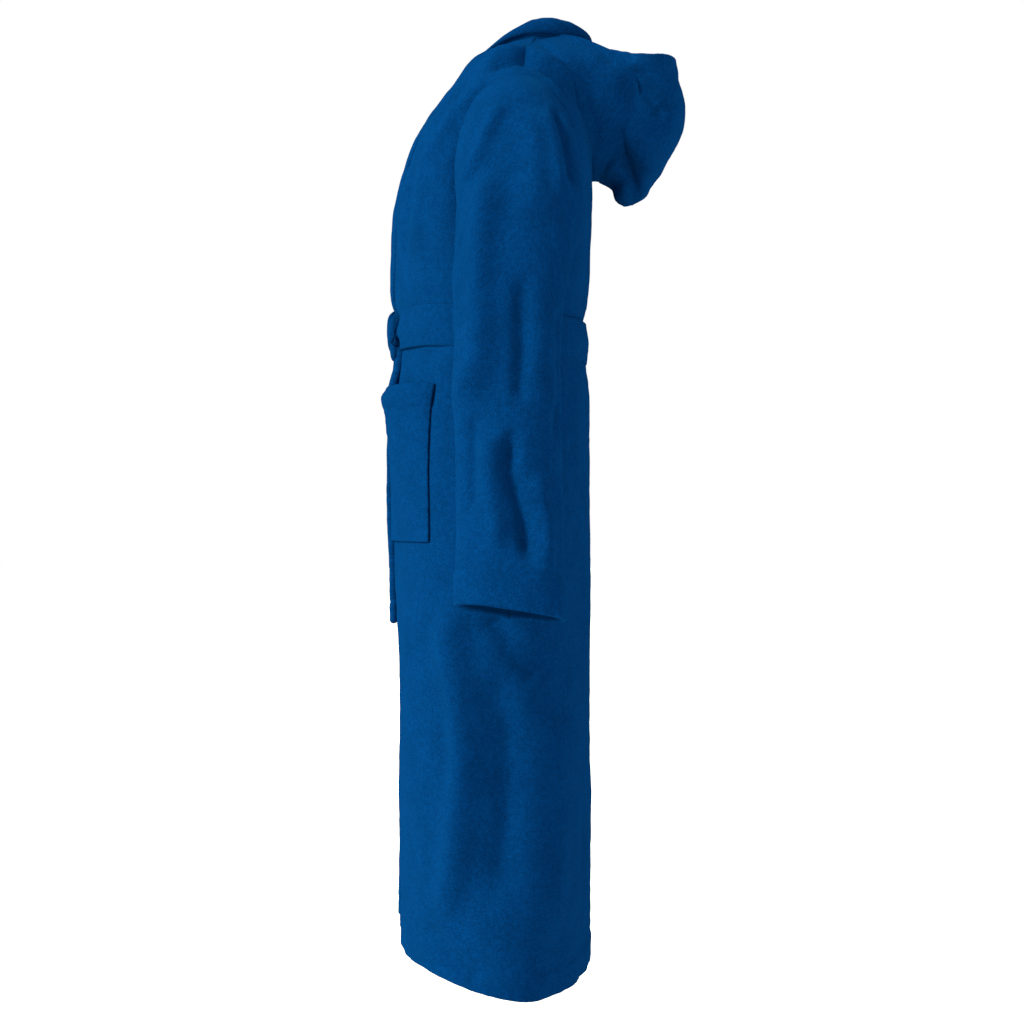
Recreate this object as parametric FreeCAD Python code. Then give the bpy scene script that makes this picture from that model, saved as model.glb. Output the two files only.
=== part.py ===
# Hooded full-length bathrobe of thick fleece, hanging from the loop in its back neck.
# X points to the wearer's left, Y to the back, Z up. The origin is the middle of the hanging loop.
# All lengths are in millimetres. Soft pieces are plain closed solids of the right size and place.
import FreeCAD, Part
import math
import os
from FreeCAD import Vector

# Driving dimensions
CLOTH = 4.0
BAND_CLOTH = 6.5
BAND_WIDTH = 40.0
SEAM_GAP = 0.5
LAP_GAP = 2.5
LEFT_BAND_PROUD = 1.2
ROUNDNESS = 2.3

HEM_Z = -1188.0
HEM_RISE = 42.0
HEM_BAND_DEPTH = 25.0
FLAP_TOP_Z = -782.0
FRONT_BOTTOM_Z = -778.0
UNDERARM_Z = -302.0

SHOULDER_TIP = Vector(205, -80, -73)
NECK_POINT = Vector(92, -60, -2)
NECK_BACK_Y = 13.0
NECK_BACK_Z = -8.0
COLLAR_FRONT_END = Vector(77, -129, -18)
COLLAR_INSET = 1.5
COLLAR_CLOTH = 5.0
ARMHOLE_CENTRE_Y = -82.0
ARMHOLE_HALF_DEPTH = 74.0
UNDERARM_HALF_WIDTH = 232.0

BELT_TOP_Z = -350.0
BELT_BOTTOM_Z = -398.0
BELT_CLOTH = 5.0
BELT_STANDOFF = 3.0

LOOP_HOLE_RADIUS = 12.0
LOOP_CLOTH = 1.6
LOOP_TAPE_WIDTH = 8.0

POCKET_TOP_Z = -452.0
POCKET_BOTTOM_Z = -642.0
POCKET_INNER_X = 66.0
POCKET_OUTER_X = 203.0
POCKET_SPREAD = 20.0
POCKET_GAPE = 19.0
POCKET_HEM_DEPTH = 30.0

# Height, half width, front Y, side seam Y and back Y of the body below the underarm
BODY_SECTIONS = [
    (-1188, 285, -236, -110, 14),
    (-980, 277, -237, -110, 15),
    (-780, 268, -237, -110, 15),
    (-600, 256, -236, -110, 15),
    (-500, 243, -236, -110, 14),
    (-450, 230, -235, -108, 12),
    (-412, 219, -229, -105, 9),
    (-374, 216, -226, -102, 7),
    (-350, 216, -228, -99, 7),
    (-336, 219, -236, -97, 10),
    (-302, 232, -245, -82, 12),
]

# Height and X of the left front edge below the underarm, and its points from there to the neck point
FRONT_EDGE = [
    (-1188, -72),
    (-780, -66),
    (-600, -58),
    (-450, -40),
    (-374, -18),
    (-302, 5),
]
NECK_EDGE = [
    (0.0, Vector(5, -245, -302)),
    (0.35, Vector(32, -235, -197)),
    (0.60, Vector(53, -205, -119)),
    (0.77, Vector(66, -166, -63)),
    (0.90, Vector(77, -129, -20)),
    (1.0, NECK_POINT),
]

# Share of the way from the back of the neck to the collar's front end, and the height there
COLLAR_HEIGHTS = [
    (0.0, 15),
    (0.2, 18),
    (0.35, 24),
    (0.5, 25),
    (0.6, 20),
    (0.75, 13),
    (0.9, 8),
    (1.0, 5),
]

# Outer point (X, Z), inner point (X, Z), middle Y and half depth of each ring of the left sleeve
SLEEVE_RINGS = [
    ((209, -74), (239, -303), -82, 73),
    ((264, -104), (253, -309), -80, 76),
    ((307, -170), (262, -319), -78, 76),
    ((338, -245), (267, -334), -77, 75),
    ((355, -315), (270, -352), -77, 75),
    ((367, -372), (273, -394), -78, 74),
    ((381, -446), (280, -468), -80, 72),
    ((393, -515), (291, -536), -82, 69),
    ((405, -585), (303, -606), -84, 67),
    ((418, -650), (314, -671), -86, 65),
    ((430, -712), (326, -733), -88, 64),
]
ELBOW_STATION = 6.0
ELBOW_GAP = 0.05
CUFF_STATION = 9.35

# Height, front Y, rear Y and half width of the hood's pouch
HOOD_RINGS = [
    (-4, 19, 124, 117),
    (-43, 20, 132, 117),
    (-84, 20, 141, 114),
    (-116, 20, 136, 104),
    (-142, 20, 121, 91),
    (-160, 22, 111, 79),
    (-175, 26, 102, 66),
    (-190, 44, 91, 42),
    (-200, 58, 80, 16),
]
HOOD_BOTTOM_Z = -200.0
HOOD_BAND_WIDTH = 26.0

# Share of the way round from the hood's front seam to its rear one, and the rim's height there
HOOD_RIM = [
    (0.0, -4),
    (0.15, -9),
    (0.3, -22),
    (0.5, -30),
    (0.75, -25),
    (1.0, -16),
]


def mix(a, b, share):
    return a + (b - a) * share


def smooth(share):
    share = max(0.0, min(1.0, share))
    return share * share * (3.0 - 2.0 * share)


def look_up(table, key):
    """Rows of (key, value, ...) in rising key order, read by linear interpolation."""
    for low, high in zip(table, table[1:]):
        if key <= high[0]:
            share = max(0.0, (key - low[0]) / (high[0] - low[0]))
            return [mix(a, b, share) for a, b in zip(low[1:], high[1:])]
    return list(table[-1][1:])


def signed_power(value, power):
    return math.copysign(abs(value) ** power, value)


# ---- Surfaces through nets of points, and closed solids between two of them ----

def knots_for(count, degree=3):
    inner = count - degree - 1
    return [degree + 1] + [1] * inner + [degree + 1], [float(k) for k in range(inner + 2)]


def surface_from(net, closed):
    columns = len(net[0])
    poles = [[row[i] for row in net] for i in range(columns)]
    row_counts, row_knots = knots_for(len(net))
    surface = Part.BSplineSurface()
    if closed:
        ring_counts = [1] * (columns + 1)
        ring_knots = [float(k) for k in range(columns + 1)]
    else:
        ring_counts, ring_knots = knots_for(columns)
    surface.buildFromPolesMultsKnots(
        poles, ring_counts, row_counts, ring_knots, row_knots, closed, False, 3, 3)
    return surface


def rim_surface(outer_line, inner_line, closed):
    """The ruled strip between the two faces' matching border lines."""
    poles = [[outer_line[i], inner_line[i]] for i in range(len(outer_line))]
    strip = Part.BSplineSurface()
    if closed:
        counts = [1] * (len(outer_line) + 1)
        marks = [float(k) for k in range(len(outer_line) + 1)]
    else:
        counts, marks = knots_for(len(outer_line))
    strip.buildFromPolesMultsKnots(poles, counts, [2, 2], marks, [0.0, 1.0], closed, False, 3, 1)
    return strip


def solid_between(outer_net, inner_net, closed=False):
    faces = [surface_from(net, closed).toShape() for net in (outer_net, inner_net)]
    for j in (0, -1):
        faces.append(rim_surface(outer_net[j], inner_net[j], closed).toShape())
    if not closed:
        for i in (0, -1):
            outer_line = [line[i] for line in outer_net]
            inner_line = [line[i] for line in inner_net]
            faces.append(rim_surface(outer_line, inner_line, False).toShape())
    shell = Part.makeShell(faces)
    shell.sewShape()
    solid = Part.makeSolid(shell)
    if solid.Volume < 0:
        solid.reverse()
    return solid


def net_normals(net, core, closed, flat_y, flat_x):
    """Outward unit normals of a net; on the named borders they are kept in the seam's plane."""
    rows = len(net)
    columns = len(net[0])
    normals = []
    for j in range(rows):
        line = []
        for i in range(columns):
            if closed:
                across = net[j][(i + 1) % columns] - net[j][i - 1]
            else:
                across = net[j][min(i + 1, columns - 1)] - net[j][max(i - 1, 0)]
            along = net[min(j + 1, rows - 1)][i] - net[max(j - 1, 0)][i]
            normal = across.cross(along)
            borders = set()
            if j == 0:
                borders.add("first_row")
            if j == rows - 1:
                borders.add("last_row")
            if not closed and i == 0:
                borders.add("first_column")
            if not closed and i == columns - 1:
                borders.add("last_column")
            if borders & set(flat_y):
                normal.y = 0.0
            if borders & set(flat_x):
                normal.x = 0.0
            normal.normalize()
            line.append(normal)
        normals.append(line)
    middle = net[rows // 2][columns // 2]
    if normals[rows // 2][columns // 2].dot(middle - core) < 0:
        normals = [[-normal for normal in line] for line in normals]
    return normals


def moved_net(net, normals, distance):
    """Each point moved along its outward normal; distance is a number or a function of (row, column)."""
    result = []
    for j, line in enumerate(net):
        moved = []
        for i, point in enumerate(line):
            step = distance(j, i) if callable(distance) else distance
            moved.append(point + normals[j][i] * step)
        result.append(moved)
    return result


def cloth_solid(net, core, thickness, lift=0.0, closed=False, flat_y=(), flat_x=()):
    """A sheet whose outer face stands lift above the net and whose inner face is thickness below that."""
    normals = net_normals(net, core, closed, flat_y, flat_x)
    outer = moved_net(net, normals, lift)
    inner = moved_net(outer, normals, -thickness)
    return solid_between(outer, inner, closed)


def mirrored(shape):
    return shape.mirror(Vector(0, 0, 0), Vector(1, 0, 0))


BODY_CORE = Vector(0, -105, -600)


# ---- The body's surface ----

def hem_shift(height, toward_front):
    """How far the hem rises towards the front, fading out above the skirt."""
    share = smooth((FLAP_TOP_Z - height) / (FLAP_TOP_Z - HEM_Z))
    return HEM_RISE * share * toward_front


def armhole_point(share, side):
    """Left armhole edge from the underarm (0) to the shoulder tip (1); side -1 is front, +1 is back."""
    rise = (1.0 - math.cos(math.pi * share)) / 2.0
    x = mix(UNDERARM_HALF_WIDTH, SHOULDER_TIP.x, rise)
    y = ARMHOLE_CENTRE_Y + side * ARMHOLE_HALF_DEPTH * math.sin(math.pi * share)
    z = mix(UNDERARM_Z, SHOULDER_TIP.z, rise)
    return Vector(x, y, z)


def neck_edge_point(share):
    for low, high in zip(NECK_EDGE, NECK_EDGE[1:]):
        if share <= high[0]:
            return mix(low[1], high[1], (share - low[0]) / (high[0] - low[0]))
    return Vector(NECK_POINT)


def front_edge_angle(edge_x, half_width):
    return math.asin(signed_power(edge_x / half_width, ROUNDNESS / 2.0))


def front_point(across, height):
    """Left front: across runs from its free edge (0) to the side seam (1).

    height is the side seam's Z up to the underarm, and from there to 0 it runs up to the shoulder seam.
    """
    if height <= UNDERARM_Z:
        half_width, front_y, side_y, _ = look_up(BODY_SECTIONS, height)
        edge_x = look_up(FRONT_EDGE, height)[0]
        start = front_edge_angle(edge_x, half_width)
        angle = mix(start, math.pi / 2.0, across)
        depth = side_y - front_y
        toward_front = max(0.0, math.cos(angle)) ** (2.0 / ROUNDNESS)
        x = half_width * signed_power(math.sin(angle), 2.0 / ROUNDNESS)
        return Vector(x, side_y - depth * toward_front, height + hem_shift(height, toward_front))
    share = (height - UNDERARM_Z) / -UNDERARM_Z
    edge = neck_edge_point(share)
    arm = armhole_point(share, -1)
    start = front_edge_angle(edge.x, arm.x)
    depth = (arm.y - edge.y) / math.cos(start) ** (2.0 / ROUNDNESS)
    angle = mix(start, math.pi / 2.0, across)
    toward_front = max(0.0, math.cos(angle)) ** (2.0 / ROUNDNESS)
    x = arm.x * signed_power(math.sin(angle), 2.0 / ROUNDNESS)
    curved = Vector(x, arm.y - depth * toward_front, mix(edge.z, arm.z, across ** 1.5))
    seam = mix(NECK_POINT, SHOULDER_TIP, across)
    return mix(curved, seam, share ** 4)


def back_point(across, height):
    """Back: across runs from the right side seam (-1) to the left one (+1)."""
    angle = across * math.pi / 2.0
    toward_back = max(0.0, math.cos(angle)) ** (2.0 / ROUNDNESS)
    sideways = signed_power(math.sin(angle), 2.0 / ROUNDNESS)
    if height <= UNDERARM_Z:
        half_width, _, side_y, back_y = look_up(BODY_SECTIONS, height)
        y = side_y + (back_y - side_y) * toward_back
        return Vector(half_width * sideways, y, height)
    share = (height - UNDERARM_Z) / -UNDERARM_Z
    arm = armhole_point(share, 1)
    middle_z = mix(UNDERARM_Z, NECK_BACK_Z, share)
    y = arm.y + (mix(12.0, NECK_BACK_Y, share) - arm.y) * toward_back
    curved = Vector(arm.x * sideways, y, mix(middle_z, arm.z, abs(across) ** 1.5))
    return mix(curved, back_top_point(across), share ** 4)


def back_top_point(across):
    """The back's top edge: the neckline in the middle and a shoulder seam on each side."""
    neck_share = 0.45
    if abs(across) > neck_share:
        along = (abs(across) - neck_share) / (1.0 - neck_share)
        seam = mix(NECK_POINT, SHOULDER_TIP, along)
        return Vector(math.copysign(seam.x, across), seam.y, seam.z)
    turn = across / neck_share * math.pi / 2.0
    y = NECK_POINT.y + (NECK_BACK_Y - NECK_POINT.y) * math.cos(turn)
    z = mix(NECK_POINT.z, NECK_BACK_Z, math.cos(turn))
    return Vector(NECK_POINT.x * math.sin(turn), y, z)


def steps(low, high, count):
    return [mix(low, high, k / (count - 1)) for k in range(count)]


def edge_arc_length(height):
    """Length of the left front's surface across, from its free edge to the side seam."""
    points = [front_point(share, height) for share in steps(0.0, 1.0, 25)]
    return sum((b - a).Length for a, b in zip(points, points[1:]))


def band_share(height, width):
    return width / edge_arc_length(height)


LOW_HEIGHTS = [-778, -740, -690, -640, -590, -545, -500, -450, -412, -374, -350, -336, -310]
HIGH_HEIGHTS = [-280, -250, -215, -180, -145, -110, -80, -52, -28, -10, 0]
FLAP_HEIGHTS = [HEM_Z, -1140, -1080, -1010, -940, -880, -830, FLAP_TOP_Z]


def front_net(heights, first, last, columns):
    """Net on the left front between two shares across, each a function of height."""
    net = []
    for height in heights:
        low = first(height)
        high = last(height)
        net.append([front_point(share, height) for share in steps(low, high, columns)])
    return net


def lap_lift(net_columns):
    """The under front lies below the upper one, and rises to the body's surface at its side seam."""
    drop = CLOTH + LAP_GAP

    def lift(row, column):
        return -drop * smooth(1.6 * (1.0 - column / (net_columns - 1)))
    return lift


def front_pieces(side, heights, bottom_height):
    """The panel and the edge band of one front; the right one is the under front."""
    columns = 13
    panel_net = front_net(
        [bottom_height] + heights[1:],
        lambda h: band_share(h, BAND_WIDTH + SEAM_GAP),
        lambda h: 1.0,
        columns)
    band_net = front_net(heights, lambda h: 0.0, lambda h: band_share(h, BAND_WIDTH), 4)
    reaches_shoulder = heights[-1] == 0
    flat = ("last_row", "last_column") if reaches_shoulder else ("last_column",)
    panel_net = shifted_from_seams(panel_net, -SEAM_GAP / 2.0, reaches_shoulder)
    band_flat = ("last_row",) if reaches_shoulder else ()
    if reaches_shoulder:
        band_net[-1] = [point + Vector(0, -SEAM_GAP / 2.0, 0) for point in band_net[-1]]
    if side == "left":
        panel = cloth_solid(panel_net, BODY_CORE, CLOTH, 0.0, flat_y=flat)
        band = cloth_solid(band_net, BODY_CORE, BAND_CLOTH, LEFT_BAND_PROUD, flat_y=band_flat)
        return panel, band
    panel = cloth_solid(panel_net, BODY_CORE, CLOTH, lap_lift(columns), flat_y=flat)
    band = cloth_solid(band_net, BODY_CORE, BAND_CLOTH, -CLOTH - LAP_GAP, flat_y=band_flat)
    return mirrored(panel), mirrored(band)


def shifted_from_seams(net, shift, top_too):
    """Side seam column, and shoulder seam row, moved along Y so that neighbours don't touch."""
    for line in net:
        line[-1] = line[-1] + Vector(0, shift, 0)
    if top_too:
        net[-1] = [point + Vector(0, shift, 0) for point in net[-1][:-1]] + [net[-1][-1]]
    return net


def front_hem(side):
    columns = 13
    net = front_net(
        steps(HEM_Z, HEM_Z + HEM_BAND_DEPTH - SEAM_GAP, 4),
        lambda h: band_share(h, BAND_WIDTH + SEAM_GAP),
        lambda h: 1.0,
        columns)
    net = shifted_from_seams(net, -SEAM_GAP / 2.0, False)
    lift = 0.5 if side == "left" else lap_lift(columns)
    hem = cloth_solid(net, BODY_CORE, CLOTH + 1.0, lift, flat_y=("last_column",))
    return hem if side == "left" else mirrored(hem)


def back_net(heights, limit, columns):
    return [[back_point(share, height) for share in steps(-limit, limit, columns)] for height in heights]


def back_panel():
    heights = [HEM_Z + HEM_BAND_DEPTH] + FLAP_HEIGHTS[1:] + LOW_HEIGHTS[1:] + HIGH_HEIGHTS
    net = back_net(heights, 1.0, 25)
    for line in net:
        line[0] = line[0] + Vector(0, SEAM_GAP / 2.0, 0)
        line[-1] = line[-1] + Vector(0, SEAM_GAP / 2.0, 0)
    net[-1] = [point + Vector(0, SEAM_GAP / 2.0, 0) for point in net[-1]]
    flat = ("last_row", "first_column", "last_column")
    return cloth_solid(net, BODY_CORE, CLOTH, 0.0, flat_y=flat)


def back_hem_band():
    net = back_net(steps(HEM_Z, HEM_Z + HEM_BAND_DEPTH - SEAM_GAP, 4), 1.0, 25)
    for line in net:
        line[0] = line[0] + Vector(0, SEAM_GAP / 2.0, 0)
        line[-1] = line[-1] + Vector(0, SEAM_GAP / 2.0, 0)
    return cloth_solid(net, BODY_CORE, CLOTH + 1.0, 0.5, flat_y=("first_column", "last_column"))


# ---- Neck, hood and hanging loop ----

def neckline_point(turn, inset):
    """Round the neck: turn runs from the right front end (-1) by the back (0) to the left end (+1)."""
    back_share = 0.6
    if abs(turn) <= back_share:
        angle = turn / back_share * math.pi / 2.0
        x = (NECK_POINT.x - inset) * math.sin(angle)
        y = NECK_POINT.y + (NECK_BACK_Y - NECK_POINT.y - inset) * math.cos(angle)
        return Vector(x, y, mix(NECK_POINT.z, NECK_BACK_Z, math.cos(angle)))
    along = (abs(turn) - back_share) / (1.0 - back_share)
    x = mix(NECK_POINT.x, COLLAR_FRONT_END.x, along) - inset
    y = mix(NECK_POINT.y, COLLAR_FRONT_END.y, along)
    z = mix(NECK_POINT.z, COLLAR_FRONT_END.z, along ** 2)
    return Vector(math.copysign(x, turn), y, z)


def collar_height(turn):
    """The roll stands highest beside the back of the neck, and falls towards the front and the back."""
    return look_up(COLLAR_HEIGHTS, abs(turn))[0]


def collar_roll():
    net = []
    for share in steps(0.0, 1.0, 6):
        line = []
        for turn in steps(-1.0, 1.0, 29):
            base = neckline_point(turn, COLLAR_INSET)
            spread = neckline_point(turn, COLLAR_INSET - 8.0) - base
            rise = 3.0 + collar_height(turn) * share
            line.append(base + Vector(spread.x, spread.y * 0.2, 0) * share ** 1.5 + Vector(0, 0, rise))
        net.append(line)
    return cloth_solid(net, Vector(0, -60, 10), COLLAR_CLOTH)


def neck_tape():
    columns = steps(-0.20, 0.20, 9)
    rows = [-34, -30, -26, -22]
    net = [[back_point(share, height) for share in columns] for height in rows]
    return cloth_solid(net, BODY_CORE, 2.0, -CLOTH - 3.0 * SEAM_GAP)


def hanging_loop():
    outer_radius = LOOP_HOLE_RADIUS + LOOP_CLOTH
    start = Vector(0, -LOOP_TAPE_WIDTH / 2.0, 0)
    ring = Part.makeCylinder(outer_radius, LOOP_TAPE_WIDTH, start, Vector(0, 1, 0))
    foot = Part.makeBox(18.0, LOOP_TAPE_WIDTH, 12.0, Vector(-9.0, -LOOP_TAPE_WIDTH / 2.0, -24.0))
    hole = Part.makeCylinder(LOOP_HOLE_RADIUS, LOOP_TAPE_WIDTH, start, Vector(0, 1, 0))
    return ring.fuse(foot).cut(hole).removeSplitter()


def hood_point(turn, height):
    """Left half of the pouch: turn runs from the front seam (0) to the rear seam (1)."""
    rising = list(reversed(HOOD_RINGS))
    front_y, rear_y, half_width = look_up(rising, height)
    angle = turn * math.pi
    x = half_width * math.sin(angle) ** 0.8
    y = mix(front_y, rear_y, (1.0 - signed_power(math.cos(angle), 0.8)) / 2.0)
    return Vector(x + SEAM_GAP / 2.0, y, height)


def hood_rim_z(turn):
    return look_up(HOOD_RIM, turn)[0]


def hood_top_z(turn):
    """The panel stops under the edge band, but reaches the neck seam at its front."""
    return hood_rim_z(turn) - (HOOD_BAND_WIDTH + 1.0) * smooth((turn - 0.12) / 0.1)


def hood_panel():
    net = []
    for share in steps(0.0, 1.0, 12):
        line = []
        for turn in steps(0.0, 1.0, 17):
            line.append(hood_point(turn, mix(HOOD_BOTTOM_Z, hood_top_z(turn), share ** 0.8)))
        net.append(line)
    return cloth_solid(net, Vector(0, 80, -90), CLOTH, flat_x=("first_column", "last_column"))


def hood_edge_band():
    net = []
    for share in steps(0.0, 1.0, 4):
        line = []
        for turn in steps(0.25, 1.0, 12):
            line.append(hood_point(turn, hood_rim_z(turn) - HOOD_BAND_WIDTH * (1.0 - share)))
        rear = line[-1]
        line[-1] = Vector(0, rear.y, rear.z)
        line += [Vector(-point.x, point.y, point.z) for point in reversed(line[:-1])]
        net.append(line)
    return cloth_solid(net, Vector(0, 80, -15), BAND_CLOTH, 0.8)


# ---- Sleeves ----

def sleeve_ring(station):
    low = int(min(math.floor(station), len(SLEEVE_RINGS) - 2))
    share = station - low
    first = SLEEVE_RINGS[low]
    second = SLEEVE_RINGS[low + 1]
    outer = [mix(a, b, share) for a, b in zip(first[0], second[0])]
    inner = [mix(a, b, share) for a, b in zip(first[1], second[1])]
    return outer, inner, mix(first[2], second[2], share), mix(first[3], second[3], share)


def sleeve_net(stations):
    net = []
    for station in stations:
        outer, inner, middle_y, half_depth = sleeve_ring(station)
        middle = Vector((outer[0] + inner[0]) / 2.0, middle_y, (outer[1] + inner[1]) / 2.0)
        reach = Vector(outer[0] - inner[0], 0, outer[1] - inner[1]) / 2.0
        line = []
        for k in range(20):
            angle = 2.0 * math.pi * k / 20
            along = signed_power(math.cos(angle), 0.9)
            deep = signed_power(math.sin(angle), 0.9)
            line.append(middle + reach * along + Vector(0, half_depth * deep, 0))
        net.append(line)
    return net


def sleeve_tube(stations, thickness, lift=0.0):
    net = sleeve_net(stations)
    ring = net[len(net) // 2]
    core = sum(ring, Vector(0, 0, 0)) / len(ring)
    return cloth_solid(net, core, thickness, lift, closed=True)


def upper_sleeve():
    return sleeve_tube(steps(0.0, ELBOW_STATION - ELBOW_GAP / 2.0, 13), CLOTH)


def lower_sleeve():
    return sleeve_tube(steps(ELBOW_STATION + ELBOW_GAP / 2.0, CUFF_STATION - 0.01, 9), CLOTH)


def cuff():
    last = len(SLEEVE_RINGS) - 1
    return sleeve_tube(steps(CUFF_STATION, last, 4), CLOTH + 1.5, 0.6)


# ---- Pockets ----

def across_at(x, height):
    half_width = look_up(BODY_SECTIONS, height)[0]
    start = front_edge_angle(look_up(FRONT_EDGE, height)[0], half_width)
    angle = math.asin((x / half_width) ** (ROUNDNESS / 2.0))
    return (angle - start) / (math.pi / 2.0 - start)


def pocket_piece(low_z, high_z, thickness, proud):
    """Part of the left patch pocket between two heights; its mouth stands open at the top.

    Its outer edge slopes out a little towards the bottom, so that it hangs straight on the wider skirt.
    """
    rows = 7
    columns = 11
    net = []
    for height in steps(low_z, high_z, rows):
        down = (POCKET_TOP_Z - height) / (POCKET_TOP_Z - POCKET_BOTTOM_Z)
        outer_x = POCKET_OUTER_X + POCKET_SPREAD * down
        net.append([
            front_point(across_at(x, height), height) for x in steps(POCKET_INNER_X, outer_x, columns)])
    normals = net_normals(net, BODY_CORE, False, (), ())

    def inner_lift(row, column):
        height = mix(low_z, high_z, row / (rows - 1))
        up = (height - POCKET_BOTTOM_Z) / (POCKET_TOP_Z - POCKET_BOTTOM_Z)
        across = math.sin(math.pi * column / (columns - 1)) ** 0.7
        return 1.5 + POCKET_GAPE * smooth(up * 1.15) * across

    inner = moved_net(net, normals, inner_lift)
    outer = moved_net(inner, normals, thickness + proud)
    return solid_between(outer, inner)


def pocket_body():
    return pocket_piece(POCKET_BOTTOM_Z, POCKET_TOP_Z - POCKET_HEM_DEPTH - SEAM_GAP, CLOTH, 0.0)


def pocket_hem():
    return pocket_piece(POCKET_TOP_Z - POCKET_HEM_DEPTH, POCKET_TOP_Z, CLOTH, 1.5)


# ---- Belt ----

def waist_ring(height, count):
    half_width, front_y, side_y, back_y = look_up(BODY_SECTIONS, height)
    line = []
    for k in range(count):
        angle = 2.0 * math.pi * k / count
        toward_front = signed_power(math.cos(angle), 2.0 / ROUNDNESS)
        sideways = signed_power(math.sin(angle), 2.0 / ROUNDNESS)
        reach = side_y - front_y if toward_front > 0 else back_y - side_y
        line.append(Vector(half_width * sideways, side_y - reach * toward_front, height))
    return line


def belt_waistband():
    heights = steps(BELT_BOTTOM_Z, BELT_TOP_Z, 5)
    middle = waist_ring((BELT_TOP_Z + BELT_BOTTOM_Z) / 2.0, 36)
    net = [[Vector(point.x, point.y, height) for point in middle] for height in heights]
    return cloth_solid(net, BODY_CORE, BELT_CLOTH, BELT_CLOTH + BELT_STANDOFF + 2.5, closed=True)


def belt_knot():
    block = Part.makeBox(62.0, 17.0, 50.0, Vector(-27.0, -256.5, -399.0))
    return block.makeFillet(6.0, block.Edges)


def belt_tail(side):
    """A flat tail hanging in front of the skirt from just under the knot."""
    length = 351.0 if side > 0 else 336.0
    top_z = -405.0
    middle_x = 27.5 if side > 0 else -21.5
    half_width = 23.0
    net = []
    for share in steps(0.0, 1.0, 9):
        drift = side * 8.0 * share ** 1.5
        wave = 1.8 * math.sin(2.2 * math.pi * share) * share
        centre = Vector(middle_x + drift, -250.0 + wave, top_z - length * share)
        net.append([centre + Vector(x, 0, 0) for x in steps(-half_width, half_width, 5)])
    return cloth_solid(net, Vector(middle_x, -200, -560), 6.0)


def belt_loop():
    """A narrow strip over the belt at the left side seam."""
    side_x = look_up(BODY_SECTIONS, -374)[0]
    side_y = look_up(BODY_SECTIONS, -374)[2]
    inner_x = side_x + 4.2
    plate_x = side_x + BELT_CLOTH + BELT_STANDOFF + 4.2
    width = 12.0
    start_y = side_y - width / 2.0
    plate = Part.makeBox(2.0, width, 76.0, Vector(plate_x, start_y, -412.0))
    top_leg = Part.makeBox(plate_x - inner_x, width, 2.5, Vector(inner_x, start_y, -338.5))
    bottom_leg = Part.makeBox(plate_x - inner_x, width, 2.5, Vector(inner_x, start_y, -412.0))
    return plate.fuse([top_leg, bottom_leg]).removeSplitter()


# ---- All the pieces ----

def all_pieces():
    upper_heights = [FRONT_BOTTOM_Z] + LOW_HEIGHTS[1:] + HIGH_HEIGHTS
    pieces = {}
    for side in ("left", "right"):
        panel, band = front_pieces(side, upper_heights, FRONT_BOTTOM_Z)
        pieces[side + "_front_panel"] = panel
        pieces[side + "_front_band"] = band
        flap, flap_band = front_pieces(side, FLAP_HEIGHTS, HEM_Z + HEM_BAND_DEPTH)
        pieces[side + "_skirt_panel"] = flap
        pieces[side + "_skirt_band"] = flap_band
        pieces[side + "_skirt_hem"] = front_hem(side)
    pieces["back_panel"] = back_panel()
    pieces["back_hem_band"] = back_hem_band()
    pieces["collar_roll"] = collar_roll()
    pieces["neck_tape"] = neck_tape()
    pieces["hanging_loop"] = hanging_loop()
    pieces["hood_edge_band"] = hood_edge_band()
    pieces["belt_waistband"] = belt_waistband()
    pieces["belt_knot"] = belt_knot()
    pieces["left_belt_tail"] = belt_tail(1)
    pieces["right_belt_tail"] = belt_tail(-1)
    paired = {
        "hood_panel": hood_panel(),
        "upper_sleeve": upper_sleeve(),
        "lower_sleeve": lower_sleeve(),
        "cuff": cuff(),
        "pocket": pocket_body(),
        "pocket_hem": pocket_hem(),
        "belt_loop": belt_loop(),
    }
    for name, shape in paired.items():
        pieces["left_" + name] = shape
        pieces["right_" + name] = mirrored(shape)
    return pieces


os.makedirs("parts", exist_ok=True)
for node, shape in sorted(all_pieces().items()):
    print(node, "valid" if shape.isValid() else "INVALID", round(shape.Volume / 1000.0, 1), "cm3")
    shape.exportStep("parts/" + node + ".step")
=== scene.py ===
# Hooded fleece bathrobe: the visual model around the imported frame.
# Tables and shapes are in millimetres, in the frame's axes, and become metres as each mesh is made.
import math
import bmesh
import bpy
import numpy as np
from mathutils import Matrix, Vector


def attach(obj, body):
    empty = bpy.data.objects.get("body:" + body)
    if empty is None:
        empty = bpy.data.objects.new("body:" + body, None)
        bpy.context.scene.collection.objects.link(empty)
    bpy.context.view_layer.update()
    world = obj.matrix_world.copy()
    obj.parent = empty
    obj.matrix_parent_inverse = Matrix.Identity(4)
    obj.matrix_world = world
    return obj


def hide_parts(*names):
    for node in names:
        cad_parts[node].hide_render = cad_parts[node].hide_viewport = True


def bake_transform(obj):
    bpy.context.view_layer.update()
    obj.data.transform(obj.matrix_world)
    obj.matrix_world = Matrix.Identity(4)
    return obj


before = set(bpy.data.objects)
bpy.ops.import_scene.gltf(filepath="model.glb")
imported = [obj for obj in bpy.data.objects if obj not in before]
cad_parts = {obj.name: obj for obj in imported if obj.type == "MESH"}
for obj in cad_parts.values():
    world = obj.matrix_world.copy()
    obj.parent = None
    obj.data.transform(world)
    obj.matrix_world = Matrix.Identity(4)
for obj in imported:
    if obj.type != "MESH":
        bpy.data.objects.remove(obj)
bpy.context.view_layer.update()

# ---- Driving dimensions ----
MM = 0.001
CLOTH = 4.2
BAND_CLOTH = 5.0
BAND_WIDTH = 40.0
FOLD_DEPTH = 1.4
SHOULDER_REACH = 15.0
ROUNDNESS = 2.3
HEM_Z = -1188.0
HEM_RISE = 45.0
HEM_RISE_START_Y = -60.0
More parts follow.
